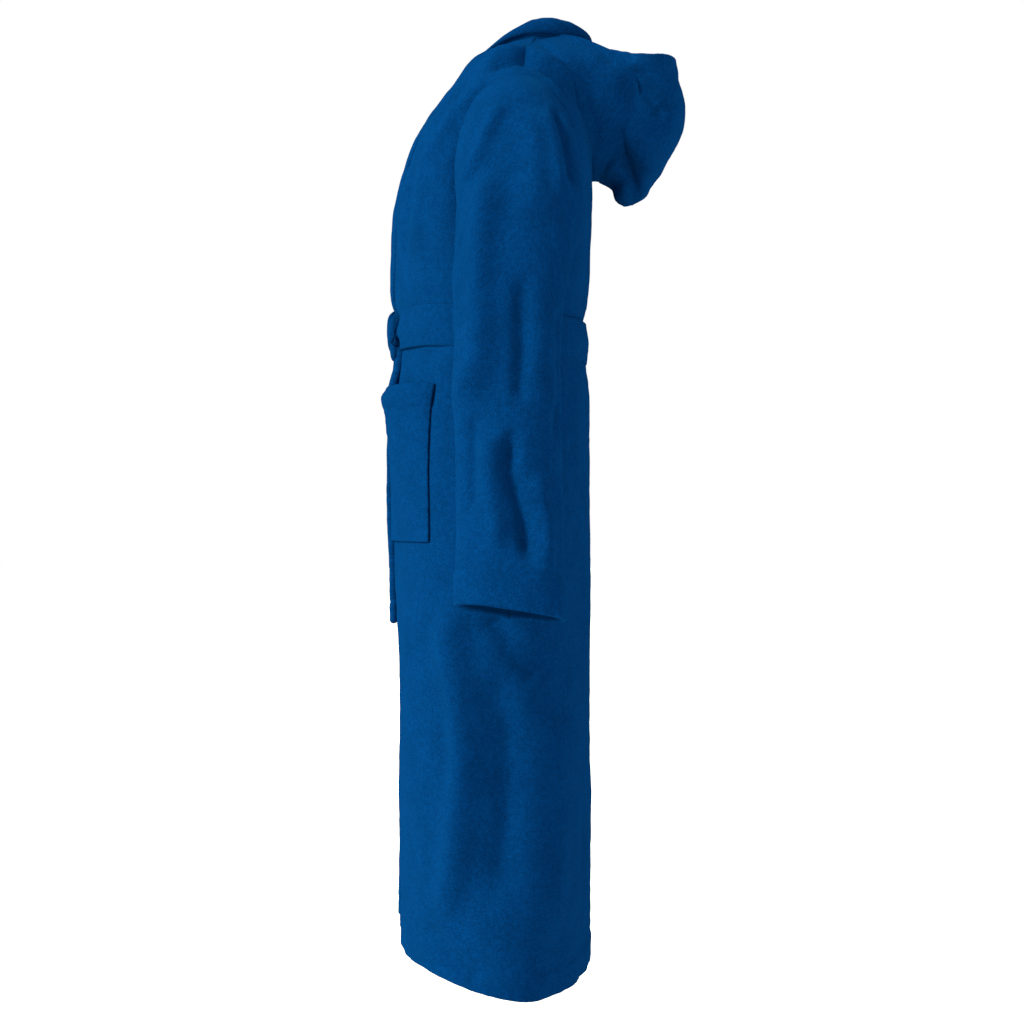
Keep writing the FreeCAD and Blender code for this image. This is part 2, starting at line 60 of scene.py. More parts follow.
HEM_RISE_END_Y = -235.0
HEM_FOLD = 32.0
SKIRT_TOP_Z = -782.0
UNDERARM_Z = -302.0
SHOULDER_TIP = np.array([205.0, -80.0, -73.0])
NECK_POINT = np.array([92.0, -60.0, -2.0])
NECK_BACK_Y = 13.0
NECK_BACK_Z = -8.0
ARMHOLE_Y = -82.0
ARMHOLE_HALF_DEPTH = 74.0
UNDERARM_HALF_WIDTH = 232.0
COLLAR_FRONT_END = np.array([76.0, -134.0, -28.0])
BELT_TOP_Z = -350.0
BELT_BOTTOM_Z = -398.0
BELT_MIDDLE_Z = (BELT_TOP_Z + BELT_BOTTOM_Z) / 2.0
LAP_DROP = 6.8
BELT_LIFT = 5.5
BELT_TAIL_CLOTH = 10.5
BELT_SAG = 15.0
POCKET_TOP_Z = -452.0
POCKET_BOTTOM_Z = -642.0
POCKET_INNER_X = 66.0
POCKET_OUTER_X = 203.0
POCKET_SPREAD = 20.0
POCKET_GAPE = 26.0
POCKET_HEM = 30.0
POCKET_CLOTH = 3.2
TAIL_LENGTH = {"left": 354.0, "right": 338.0}
TAIL_MIDDLE_X = {"left": 27.5, "right": -21.5}
TAIL_HALF_WIDTH = 22.5
TAIL_Y = -248.5
TAIL_TOP_Z = -392.0
LOOP_CLOTH = 2.6
LOOP_HALF_WIDTH = 6.0

# A point well inside each piece, from which its outer face looks away
BODY_CORE = (0.0, -105.0, -600.0)
HOOD_CORE = (0.0, 80.0, -90.0)
DRAPE_CORE = (0.0, -20.0, -110.0)

# Linear colours
FLEECE_COLOR = (0.0003, 0.0215, 0.092)
BELT_COLOR = (0.0003, 0.0210, 0.090)
TAPE_COLOR = (0.002, 0.030, 0.120)
FLOOR_SHADE = 0.93

# Spacing and number of mesh rows and columns
BODY_STEP = 4.2
EVENING_PASSES = 14
FRONT_COLUMNS = 78
FACING_COLUMNS = 12
BACK_COLUMNS = 138
SLEEVE_STEP = 3.8
CUFF_STEP = 3.2
SLEEVE_COLUMNS = 108
COLLAR_STATIONS = 150
COLLAR_POINTS = 34
HOOD_ROWS = 66
HOOD_COLUMNS = 72
HOOD_BAND_ROWS = 9
HOOD_BAND_COLUMNS = 64
DRAPE_ROWS = 60
DRAPE_COLUMNS = 24
POCKET_ROWS = 46
POCKET_HEM_ROWS = 11
POCKET_COLUMNS = 40
BELT_ROWS = 13
BELT_COLUMNS = 300
KNOT_POINTS = 36
TAIL_ROWS = 96
TAIL_COLUMNS = 15
LOOP_ROWS = 44
LOOP_COLUMNS = 6

# Shares of the half turn round a cloth's edge; the first and last keep the faces' shading flat
EDGE_TURNS = (0.03, 0.25, 0.5, 0.75, 0.97)

# Seeds of the unevenness; pieces that meet share one, so that they move together
BODY_SEED = 11
FACING_SEED = 12
HOOD_SEED = 21
SLEEVE_SEED = 30
POCKET_SEED = 51

# Studio
FLOOR_Z = -1.5
CAMERA_PLACE = (2.7, -0.087, -0.607)
CAMERA_LENS = 71.9
WORLD_STRENGTH = 1.0
KEY_STRENGTH = 6.8
KEY_COLOR = (1.0, 1.0, 0.80)
KEY_SPREAD = 18.0
KEY_FROM = (0.45, -0.72, 0.53)

# Height, half width, front Y, side seam Y and back Y of the body below the underarm
BODY = np.array([
    (-1188, 285, -234, -110, 13),
    (-980, 277, -234, -110, 13),
    (-790, 268, -234, -110, 13),
    (-740, 266, -237, -110, 14),
    (-600, 256, -239, -110, 14),
    (-500, 243, -239, -110, 14),
    (-450, 231, -237, -108, 14),
    (-420, 222, -233, -106, 11),
    (-404, 216, -230, -104, 7),
    (-374, 215, -229, -101, 5),
    (-356, 216, -232, -98, 6),
    (-338, 221, -238, -95, 12),
    (-302, 232, -240, -82, 15),
], float)

# Height and X of the left front's free edge below the underarm
FRONT_EDGE = np.array([
    (-1188, -72), (-780, -66), (-600, -58), (-450, -40), (-374, -18), (-302, 5)], float)

# Share of the way up from the underarm to the neck point, and X, Y, Z of the free edge there
NECK_EDGE = np.array([
    (0.0, 5, -240, -302), (0.35, 32, -235, -197), (0.60, 53, -203, -119),
    (0.77, 66, -163, -63), (0.90, 77, -127, -18), (1.0, 92, -60, -2)], float)

# Share of the way up from the underarm to the neck, and the back's Y there
UPPER_BACK = np.array([(0.0, 15), (0.3, 17), (0.6, 17), (0.8, 16), (1.0, 13)], float)

# Outer X and Z, inner X and Z, middle Y and half depth of each ring of the left sleeve
SLEEVE = np.array([
    (195, -76, 225, -298, -82, 71),
    (205, -73, 232, -302, -82, 74),
    (262, -104, 252, -309, -80, 76),
    (306, -170, 261, -319, -78, 76),
    (338, -245, 267, -334, -83, 71),
    (355, -315, 270, -352, -88, 66),
    (367, -372, 273, -394, -91, 62),
    (381, -446, 280, -468, -92, 61),
    (393, -515, 291, -536, -91, 62),
    (405, -585, 303, -606, -90, 63),
    (418, -650, 314, -669, -89, 64),
    (430, -712, 326, -729, -89, 64),
], float)
SLEEVE_SPLIT = 6.25
CUFF_STATION = 10.35
LAST_STATION = 11.0
CUFF_DROP = 8.5

# Height, front Y, rear Y and half width of the hood's pouch
HOOD = np.array([
    (-203, 61, 73, 3),
    (-200, 55, 79, 16),
    (-195, 50, 86, 30),
    (-187, 47, 93, 46),
    (-178, 44, 97, 56),
    (-172, 36, 100, 63),
    (-167, 26, 103, 69),
    (-160, 22, 110, 79),
    (-142, 22, 121, 91),
    (-116, 22, 136, 104),
    (-84, 22, 141, 114),
    (-43, 21, 132, 117),
    (-4, 20, 124, 117),
], float)

# Share of the way round from the front seam to the rear one, and the height of the hood's rim there
HOOD_RIM = np.array([(0, -4), (0.15, -9), (0.3, -22), (0.5, -30), (0.75, -25), (1.0, -16)], float)

# Share of the way from the back of the neck to the collar's front end, and the roll's height there
COLLAR = np.array([
    (0, 24), (0.2, 25), (0.35, 28), (0.5, 27), (0.6, 22), (0.7, 16), (0.8, 10.5), (0.9, 5), (1.0, 1)],
    float)

# A cross-section of the collar: outward and upward shares, from its inner foot over the top and back
COLLAR_SECTION = np.array([
    (-4.5, -0.3), (-6, 0.25), (-6, 0.7), (-1.5, 0.95), (4, 1.0), (9.5, 0.86), (12, 0.56), (10.5, 0.28),
    (6.5, 0.17), (3.5, 0.04), (2, -0.3)], float)

# Folds as (line of Y and Z points, half width, height); a groove has a negative height
SLEEVE_FOLDS = [
    ([(-112, -200), (-122, -276), (-124, -425), (-146, -510)], 15, 12.0),
    ([(-98, -120), (-126, -186), (-148, -230)], 8, 6.5),
    ([(-76, -330), (-74, -420), (-78, -492)], 11, -6.5),
    ([(-30, -365), (-27, -460), (-35, -540)], 7, -6.0),
    ([(-86, -505), (-91, -559), (-76, -602), (-65, -668)], 9, -9.0),
    ([(-112, -515), (-112, -570), (-100, -650)], 11, 6.5),
    ([(-134, -495), (-135, -612)], 8, -6.5),
    ([(-38, -120), (-24, -165), (-14, -230)], 5, -6.0),
    ([(-50, -122), (-38, -172), (-30, -250)], 8, 3.5),
    ([(-64, -120), (-60, -190), (-66, -280)], 16, 4.5),
    ([(-60, -560), (-48, -620), (-50, -690)], 10, 5.5),
]
BODY_FOLDS = [
    ([(-128, -50), (-172, -104), (-213, -165), (-223, -244), (-227, -312)], 6, -5.5),
    ([(-112, -66), (-156, -118), (-197, -178), (-207, -250), (-211, -300)], 8, 3.0),
    ([(-124, -54), (-101, -33), (-67, -33), (-34, -48), (-10, -72), (6, -101)], 8, 6.0),
    ([(-127, -68), (-104, -53), (-79, -47), (-59, -51), (-37, -65), (-22, -78), (-2, -110)], 7, -7.0),
    ([(-150, -690), (-160, -760), (-146, -896), (-153, -1014), (-176, -1120)], 17, 13.0),
    ([(-116, -720), (-88, -768), (-46, -812)], 17, -7.0),
    ([(-168, -800), (-164, -872), (-168, -950)], 12, -4.5),
    ([(-122, -790), (-92, -860), (-88, -960), (-104, -1080)], 24, -9.0),
    ([(-30, -830), (-26, -950), (-40, -1140)], 22, 7.0),
    ([(-196, -1100), (-160, -1142), (-118, -1160)], 10, -5.0),
    ([(-206, -700), (-210, -860), (-204, -1000)], 16, 5.0),
]
HOOD_FOLDS = [
    ([(20, -98), (48, -148), (84, -204)], 9, -10.0),
    ([(44, -92), (74, -142), (100, -176)], 13, 8.0),
    ([(60, -30), (98, -58), (124, -84)], 13, 6.0),
    ([(48, -46), (84, -78), (112, -112)], 10, -6.0),
]


# ---- Small maths ----

def smooth(share):
    """Eases from 0 to 1 as the share does, with a level start and end."""
    share = np.clip(share, 0.0, 1.0)
    return share * share * (3.0 - 2.0 * share)


def curve(keys, values, at):
    """Smooth interpolation through rising keys; it stays at its end values beyond them."""
    keys = np.asarray(keys, float)
    values = np.asarray(values, float)
    at = np.clip(np.asarray(at, float), keys[0], keys[-1])
    slopes = np.gradient(values, keys, axis=0)
    low = np.clip(np.searchsorted(keys, at, side="right") - 1, 0, len(keys) - 2)
    step = keys[low + 1] - keys[low]
    t = (at - keys[low]) / step
    if values.ndim > 1:
        t = t[..., None]
        step = step[..., None]
    h00 = 2 * t ** 3 - 3 * t ** 2 + 1
    h10 = t ** 3 - 2 * t ** 2 + t
    h01 = -2 * t ** 3 + 3 * t ** 2
    h11 = t ** 3 - t ** 2
    return (h00 * values[low] + h10 * step * slopes[low]
            + h01 * values[low + 1] + h11 * step * slopes[low + 1])


def signed_power(value, power):
    """A power that keeps the value's sign."""
    return np.sign(value) * np.abs(value) ** power


def lattice(cells, seed):
    """A repeatable random number in -1..1 for each whole-numbered 3-D cell."""
    cells = cells.astype(np.int64)
    mixed = cells[..., 0] * 374761393 + cells[..., 1] * 668265263 + cells[..., 2] * 2147483647
    mixed = (mixed + seed * 974634777) & 0xFFFFFFFF
    mixed = ((mixed ^ (mixed >> 13)) * 1274126177) & 0xFFFFFFFF
    mixed = mixed ^ (mixed >> 16)
    return (mixed & 0xFFFF) / 32767.5 - 1.0


def noise(points, size, seed=0):
    """Smooth noise in -1..1 whose lumps are about size across."""
    scaled = points / size + 1000.0
    base = np.floor(scaled)
    part = scaled - base
    part = part * part * (3.0 - 2.0 * part)
    total = np.zeros(points.shape[:-1])
    for dx in (0, 1):
        for dy in (0, 1):
            for dz in (0, 1):
                weight = (np.where(dx, part[..., 0], 1 - part[..., 0])
                          * np.where(dy, part[..., 1], 1 - part[..., 1])
                          * np.where(dz, part[..., 2], 1 - part[..., 2]))
                total += weight * lattice(base + np.array([dx, dy, dz]), seed)
    return total


def blurred(grid, passes):
    """Evens out a net, or a line of points, from row to row; its ends stay put."""
    grid = grid.copy()
    for _ in range(passes):
        grid[1:-1] = (grid[:-2] + 2 * grid[1:-1] + grid[2:]) / 4.0
    return grid


def unit(vectors):
    """The vectors at length 1."""
    length = np.linalg.norm(vectors, axis=-1, keepdims=True)
    return vectors / np.maximum(length, 1e-9)


def distances(grid, axis):
    """Distance along a net from its first row (axis 0) or its first column (axis 1)."""
    steps = np.linalg.norm(np.diff(grid, axis=axis), axis=2)
    return np.concatenate([np.zeros_like(steps.take([0], axis)), np.cumsum(steps, axis=axis)], axis=axis)


def normals_of(grid, core, closed=False):
    """Unit normals of a net, pointing away from core."""
    if closed:
        across = np.roll(grid, -1, axis=1) - np.roll(grid, 1, axis=1)
    else:
        across = np.gradient(grid, axis=1)
    along = np.gradient(grid, axis=0)
    found = unit(np.cross(across, along))
    middle = grid[grid.shape[0] // 2, grid.shape[1] // 2]
    if np.dot(found[grid.shape[0] // 2, grid.shape[1] // 2], middle - np.asarray(core)) < 0:
        found = -found
    return found


# ---- Folds: ridges and grooves along lines in the side view ----

def along_lines(points, line):
    """Distance in the Y-Z plane from each point to a polyline, and the share of the way along it."""
    flat = points[..., 1:3]
    line = np.asarray(line, float)
    lengths = np.linalg.norm(np.diff(line, axis=0), axis=1)
    ends = np.concatenate([[0.0], np.cumsum(lengths)])
    best = np.full(flat.shape[:-1], 1e9)
    where = np.zeros(flat.shape[:-1])
    for k in range(len(line) - 1):
        step = line[k + 1] - line[k]
        t = np.clip(((flat - line[k]) @ step) / (step @ step), 0.0, 1.0)
        away = np.linalg.norm(flat - (line[k] + t[..., None] * step), axis=-1)
        nearer = away < best
        best = np.where(nearer, away, best)
        where = np.where(nearer, (ends[k] + t * lengths[k]) / ends[-1], where)
    return best, where


def folded(points, folds):
    """Total height of the folds at each point; each fold is (line, half width, height)."""
    total = np.zeros(points.shape[:-1])
    for line, width, height in folds:
        away, share = along_lines(points, line)
        ends = smooth(share / 0.18) * smooth((1.0 - share) / 0.18)
        total += height * np.exp(-(away / width) ** 2) * ends
    return total


# ---- Meshes ----

def edge_directions(grid, closed):
    """For points on a net's open borders, the direction that leads off the cloth; zero elsewhere."""
    found = np.zeros_like(grid)
    found[0] += unit(grid[0] - grid[1])
    found[-1] += unit(grid[-1] - grid[-2])
    if not closed:
        found[:, 0] += unit(grid[:, 0] - grid[:, 1])
        found[:, -1] += unit(grid[:, -1] - grid[:, -2])
    return unit(found)


def border_indices(rows, columns, closed):
    """The border loops of a net as flat index lists."""
    number = np.arange(rows * columns).reshape(rows, columns)
    if closed:
        return [number[0], number[-1][::-1]]
    loop = np.concatenate([number[0], number[1:, -1], number[-1, -2::-1], number[-2:0:-1, 0]])
    return [loop]


def cloth_uv(grid):
    """Cloth coordinates in metres, measured along the sheet's own rows and columns."""
    u = distances(grid, 1)
    u -= u[:, u.shape[1] // 2][:, None]
    return np.stack([u, distances(grid, 0)], axis=-1) * MM


def quads_between(first, second, closed=True):
    """Quads joining two equal lines of vertex numbers."""
    a, b = np.asarray(first), np.asarray(second)
    if closed:
        return np.stack([a, np.roll(a, -1), np.roll(b, -1), b], axis=1)
    return np.stack([a[:-1], a[1:], b[1:], b[:-1]], axis=1)


def grid_quads(rows, columns, closed, start=0):
    """The quads of a whole net whose first vertex has number start."""
    number = np.arange(rows * columns).reshape(rows, columns) + start
    strips = [quads_between(number[j], number[j + 1], closed) for j in range(rows - 1)]
    return np.concatenate(strips)


def make_object(name, vertices, quads, uv, material, triangles=()):
    """A smooth-shaded mesh object from points in millimetres."""
    mesh = bpy.data.meshes.new(name)
    faces = quads.tolist() + [list(t) for t in triangles]
    mesh.from_pydata((vertices * MM).tolist(), [], faces)
    mesh.validate(verbose=False)
    layer = mesh.uv_layers.new(name="cloth")
    corner_vertex = np.zeros(len(mesh.loops), np.int32)
    mesh.loops.foreach_get("vertex_index", corner_vertex)
    layer.data.foreach_set("uv", uv[corner_vertex].astype(np.float32).ravel())
    mesh.polygons.foreach_set("use_smooth", np.ones(len(mesh.polygons), bool))
    mesh.materials.append(material)
    mesh.update()
    made = bpy.data.objects.new(name, mesh)
    bpy.context.scene.collection.objects.link(made)
    return made


def cloth_object(name, grid, thickness, core, material, closed=False):
    """A closed piece of cloth whose outer face is the net, with rounded edges."""
    rows, columns = grid.shape[:2]
    normal = normals_of(grid, core, closed)
    edge = edge_directions(grid, closed)
    uv = cloth_uv(grid).reshape(-1, 2)
    outer = grid.reshape(-1, 3)
    inner = (grid - normal * thickness).reshape(-1, 3)
    vertices = [outer, inner]
    coordinates = [uv, uv]
    quads = [grid_quads(rows, columns, closed), grid_quads(rows, columns, closed, rows * columns)[:, ::-1]]
    count = 2 * rows * columns
    for loop in border_indices(rows, columns, closed):
        previous = loop
        for turn in EDGE_TURNS:
            angle = turn * math.pi
            off = edge.reshape(-1, 3)[loop] * math.sin(angle) * thickness / 2.0
            down = normal.reshape(-1, 3)[loop] * (1.0 - math.cos(angle)) * thickness / 2.0
            vertices.append(outer[loop] + off - down)
            coordinates.append(uv[loop])
            ring = np.arange(count, count + len(loop))
            count += len(loop)
            quads.append(quads_between(previous, ring)[:, ::-1])
            previous = ring
        quads.append(quads_between(previous, loop + rows * columns)[:, ::-1])
    vertices = np.concatenate(vertices)
    quads = np.concatenate(quads)
    first = quads[0]
    facing = np.cross(vertices[first[1]] - vertices[first[0]], vertices[first[3]] - vertices[first[0]])
    if np.dot(facing, normal.reshape(-1, 3)[first[0]]) < 0:
        quads = quads[:, ::-1]
    return make_object(name, vertices, quads, np.concatenate(coordinates), material)


def roll_object(name, grid, material):
    """A solid roll: rows are stations along it, columns go round it, and both ends close to a point."""
    rows, columns = grid.shape[:2]
    uv = cloth_uv(grid).reshape(-1, 2)
    quads = grid_quads(rows, columns, True)
    tips = np.stack([grid[0].mean(axis=0), grid[-1].mean(axis=0)])
    vertices = np.concatenate([grid.reshape(-1, 3), tips])
    uv = np.concatenate([uv, uv[:1], uv[-1:]])
    number = np.arange(rows * columns).reshape(rows, columns)
    start, end = rows * columns, rows * columns + 1
    triangles = [(number[0, (i + 1) % columns], number[0, i], start) for i in range(columns)]
    triangles += [(number[-1, i], number[-1, (i + 1) % columns], end) for i in range(columns)]
    triangles = [tuple(int(k) for k in t) for t in triangles]
    made = make_object(name, vertices, quads, uv, material, triangles)
    work = bmesh.new()
    work.from_mesh(made.data)
    bmesh.ops.recalc_face_normals(work, faces=work.faces)
    work.to_mesh(made.data)
    work.free()
    return made


# ---- Surface finish ----

def pile_lumps(grid, seed=0):
    """Small unevenness of the plush surface."""
    return 0.42 * noise(grid, 6.5, seed) + 0.35 * noise(grid, 15.0, seed + 1)


def soft_waves(grid, seed=0):
    """Broad unevenness that any hanging cloth has."""
    stretched = grid * np.array([1.0, 1.0, 0.45])
    return 1.7 * noise(stretched, 34.0, seed + 5) + 2.2 * noise(stretched, 80.0, seed + 6)


def seam_dips(grid, dips, width=6.0):
    """The cloth sinks towards each sewn border; dips gives the depth at each named one."""
    total = np.zeros(grid.shape[:2])
    along = distances(grid, 0)
    across = distances(grid, 1)
    away = {
        "first_row": along, "last_row": along[-1][None, :] - along,
        "first_column": across, "last_column": across[:, -1][:, None] - across}
    for side, depth in dips.items():
        total -= depth * np.exp(-(away[side] / width) ** 2)
    return total


def hem_relief(grid, depth):
    """A turned-up hem at the first row: thicker below its stitch line, which pulls in."""
    along = distances(grid, 0)
    pucker = 1.0 + 0.5 * noise(grid, 14.0, 40)
    raised = 1.3 * (1.0 - smooth((along - depth + 3.0) / 6.0))
    return raised - 1.9 * pucker * np.exp(-((along - depth) / 3.2) ** 2)


def near_shoulder_seam(grid, reach):
    """1 on the seam that joins front and back over the shoulder, fading to 0 past its reach."""
    line = SHOULDER_TIP - NECK_POINT
    points = np.concatenate([np.abs(grid[..., :1]), grid[..., 1:]], axis=-1)
    share = np.clip(((points - NECK_POINT) @ line) / (line @ line), 0.0, 1.0)
    away = np.linalg.norm(points - NECK_POINT - share[..., None] * line, axis=-1)
    return np.exp(-(away / reach) ** 2)


def shoulder_normal(grid):
    """The direction straight out of the shoulder seam, for each point's own side of the robe."""
    line = SHOULDER_TIP - NECK_POINT
    sideways = -line[2] * np.sign(grid[..., 0])
    return unit(np.stack([sideways, np.zeros_like(sideways), np.full_like(sideways, line[0])], axis=-1))


def finished(grid, core, folds=(), dips=None, closed=False, seed=0, waves=1.0, extra=None):
    """The net moved along its normals by its folds, seams, waves and pile."""
    normal = normals_of(grid, core, closed)
    seam = near_shoulder_seam(grid, SHOULDER_REACH)[..., None]
    normal = unit(normal + (shoulder_normal(grid) - normal) * seam)
    height = pile_lumps(grid, seed) + waves * soft_waves(grid, seed)
    if folds:
        facing = smooth((normal[..., 0] * np.sign(grid[..., 0]) + 0.15) / 0.5)
        height = height + FOLD_DEPTH * folded(grid, folds) * facing
    if dips:
        height = height + seam_dips(grid, dips)
    if extra is not None:
        height = height + extra
    return grid + normal * height[..., None]


# ---- Body surface ----

def hem_shift(height, y):
    """How far the hem rises towards the front, fading out above the skirt."""
    share = smooth((SKIRT_TOP_Z - height) / (SKIRT_TOP_Z - HEM_Z))
    forward = np.clip((HEM_RISE_START_Y - y) / (HEM_RISE_START_Y - HEM_RISE_END_Y), 0.0, 1.0)
    return HEM_RISE * share * forward ** 1.25


def armhole(share, side):
    """A point of the left armhole's front (side -1) or rear (+1) edge, from the underarm up."""
    rise = (1.0 - np.cos(math.pi * share)) / 2.0
    x = UNDERARM_HALF_WIDTH + (SHOULDER_TIP[0] - UNDERARM_HALF_WIDTH) * rise
    y = ARMHOLE_Y + side * ARMHOLE_HALF_DEPTH * np.sin(math.pi * share)
    z = UNDERARM_Z + (SHOULDER_TIP[2] - UNDERARM_Z) * rise
    return x, y, z


def edge_angle(edge_x, half_width):
    """The angle round the body's section at which it reaches this X."""
    return np.arcsin(signed_power(edge_x / half_width, ROUNDNESS / 2.0))


def front_grid(heights, across):
    """Points of the left front; across has one row of shares, free edge 0 to side 1, per height."""
    h = np.asarray(heights, float)[:, None]
    share = np.clip((h - UNDERARM_Z) / -UNDERARM_Z, 0.0, 1.0)
    lower = h <= UNDERARM_Z
    section = curve(BODY[:, 0], BODY[:, 1:], h[:, 0])
    neck = curve(NECK_EDGE[:, 0], NECK_EDGE[:, 1:], share[:, 0])
    arm_x, arm_y, arm_z = armhole(share, -1)
    half_width = np.where(lower, section[:, :1], arm_x)
    side_y = np.where(lower, section[:, 2:3], arm_y)
    edge_x = np.where(lower, curve(FRONT_EDGE[:, 0], FRONT_EDGE[:, 1], h), neck[:, :1])
    start = edge_angle(edge_x, half_width)
    angle = start + across * (math.pi / 2.0 - start)
    toward_front = np.maximum(0.0, np.cos(angle)) ** (2.0 / ROUNDNESS)
    start_front = np.cos(start) ** (2.0 / ROUNDNESS)
    depth = np.where(lower, side_y - section[:, 1:2], (side_y - neck[:, 1:2]) / start_front)
    x = half_width * signed_power(np.sin(angle), 2.0 / ROUNDNESS)
    y = side_y - depth * toward_front
    upper_z = neck[:, 2:3] + (arm_z - neck[:, 2:3]) * across ** 1.5
    z = np.where(lower, h + hem_shift(h, y), upper_z)
    curved = np.stack([x, y, z], axis=-1)
    seam = NECK_POINT + (SHOULDER_TIP - NECK_POINT) * across[..., None]
    weight = np.where(lower, 0.0, share ** (4.0 + 14.0 * (1.0 - across) ** 2))[..., None]
    return curved + (seam - curved) * weight


def across_at(x, heights):
    """Share across the left front at which its surface reaches x, below the underarm."""
    h = np.asarray(heights, float)
    half_width = curve(BODY[:, 0], BODY[:, 1], h)
    start = edge_angle(curve(FRONT_EDGE[:, 0], FRONT_EDGE[:, 1], h), half_width)
    angle = np.arcsin((x / half_width) ** (ROUNDNESS / 2.0))
    return (angle - start) / (math.pi / 2.0 - start)


def back_grid(heights, across):
    """Points of the back; across runs from the right side (-1) to the left (+1)."""
    h = np.asarray(heights, float)[:, None]
    s = np.asarray(across, float)[None, :] * np.ones_like(h)
    share = np.clip((h - UNDERARM_Z) / -UNDERARM_Z, 0.0, 1.0)
    lower = h <= UNDERARM_Z
    section = curve(BODY[:, 0], BODY[:, 1:], h[:, 0])
    arm_x, arm_y, arm_z = armhole(share, 1)
    angle = s * math.pi / 2.0
    toward_back = np.maximum(0.0, np.cos(angle)) ** (2.0 / ROUNDNESS)
    sideways = signed_power(np.sin(angle), 2.0 / ROUNDNESS)
    half_width = np.where(lower, section[:, :1], arm_x)
    side_y = np.where(lower, section[:, 2:3], arm_y)
    upper_y = curve(UPPER_BACK[:, 0], UPPER_BACK[:, 1], share)
    back_y = np.where(lower, section[:, 3:4], upper_y)
    y = side_y + (back_y - side_y) * toward_back
    middle_z = UNDERARM_Z + (NECK_BACK_Z - UNDERARM_Z) * share
    upper_z = middle_z + (arm_z - middle_z) * np.abs(s) ** 1.5
    z = np.where(lower, h + hem_shift(h, y), upper_z)
    curved = np.stack([half_width * sideways, y, z], axis=-1)
    neck_share = 0.45
    along = np.clip((np.abs(s) - neck_share) / (1.0 - neck_share), 0.0, 1.0)[..., None]
    seam = NECK_POINT + (SHOULDER_TIP - NECK_POINT) * along
    seam = seam * np.stack([np.where(s < 0, -1.0, 1.0), np.ones_like(s), np.ones_like(s)], axis=-1)
    turn = np.clip(s / neck_share, -1.0, 1.0) * math.pi / 2.0
    neckline = np.stack([
        NECK_POINT[0] * np.sin(turn),
        NECK_POINT[1] + (NECK_BACK_Y - NECK_POINT[1]) * np.cos(turn),
        NECK_POINT[2] + (NECK_BACK_Z - NECK_POINT[2]) * np.cos(turn)], axis=-1)
    top = np.where((np.abs(s) > neck_share)[..., None], seam, neckline)
    weight = np.where(lower, 0.0, share ** 4)[..., None]
    return curved + (top - curved) * weight


def heights_between(low, high, step):
    """Heights whose rows lie a step apart on the cloth, also where it slopes."""
    fine = np.linspace(low, high, 400)
    length = distances(front_grid(fine, np.full((400, 1), 0.5)), 0)[:, 0]
    count = max(4, int(length[-1] / step) + 1)
    return np.interp(np.linspace(0.0, length[-1], count), length, fine)


def share_of_width(heights, width):
    """Share across at each height that a strip of this width takes from the free edge."""
    shares = np.linspace(0.0, 1.0, 40)
    length = distances(front_grid(heights, shares[None, :] * np.ones((len(heights), 1))), 1)
    return np.array([np.interp(width, row, shares) for row in length])


def spread_between(low, high, columns):
    """A row of shares for each height, between two shares that may vary with height."""
    t = np.linspace(0.0, 1.0, columns)[None, :]
    low = np.asarray(low, float).reshape(-1, 1)
    high = np.asarray(high, float).reshape(-1, 1)
    return low + (high - low) * t


def flipped(grid):
    """The mirror image on the robe's other side."""
    return grid * np.array([-1.0, 1.0, 1.0])


# ---- Materials ----

def shader_with(name, base_color, roughness, sheen, sheen_tint):
    """A material, and its shader with these values set."""
    material = bpy.data.materials.new(name)
    material.use_nodes = True
    shader = material.node_tree.nodes["Principled BSDF"]
    shader.inputs["Roughness"].default_value = roughness
    shader.inputs["Base Color"].default_value = (*base_color, 1.0)
    shader.inputs["Specular IOR Level"].default_value = 0.0
    shader.inputs["Sheen Weight"].default_value = sheen
    shader.inputs["Sheen Roughness"].default_value = 0.55
    shader.inputs["Sheen Tint"].default_value = (*sheen_tint, 1.0)
    return material, shader


def add_noise(tree, scale, detail, roughness=0.6):
    """A noise texture over the cloth's own coordinates, which are in metres."""
    place = tree.nodes.new("ShaderNodeUVMap")
    place.uv_map = "cloth"
    texture = tree.nodes.new("ShaderNodeTexNoise")
    texture.inputs["Scale"].default_value = scale
    texture.inputs["Detail"].default_value = detail
    texture.inputs["Roughness"].default_value = roughness
    tree.links.new(place.outputs["UV"], texture.inputs["Vector"])
    return texture.outputs["Fac"]


def add_ramp(tree, value, low, high, dark, light):
    """Maps a value from low..high to a grey from dark to light."""
    ramp = tree.nodes.new("ShaderNodeValToRGB")
    ramp.color_ramp.elements[0].position = low
    ramp.color_ramp.elements[1].position = high
    ramp.color_ramp.elements[0].color = (dark, dark, dark, 1.0)
    ramp.color_ramp.elements[1].color = (light, light, light, 1.0)
    tree.links.new(value, ramp.inputs["Fac"])
    return ramp.outputs["Color"]


def multiply(tree, first, second):
    """The product of two colours."""
    mix = tree.nodes.new("ShaderNodeMix")
    mix.data_type = "RGBA"
    mix.blend_type = "MULTIPLY"
    mix.inputs["Factor"].default_value = 1.0
    tree.links.new(first, mix.inputs["A"])
    tree.links.new(second, mix.inputs["B"])
    return mix.outputs["Result"]


def add_bump(tree, value, distance, strength, below=None):
    """A bump from a value, on top of the bump below if there is one."""
    bump = tree.nodes.new("ShaderNodeBump")
    bump.inputs["Distance"].default_value = distance
    bump.inputs["Strength"].default_value = strength
    tree.links.new(value, bump.inputs["Height"])
    if below is not None:
        tree.links.new(below, bump.inputs["Normal"])
    return bump.outputs["Normal"]


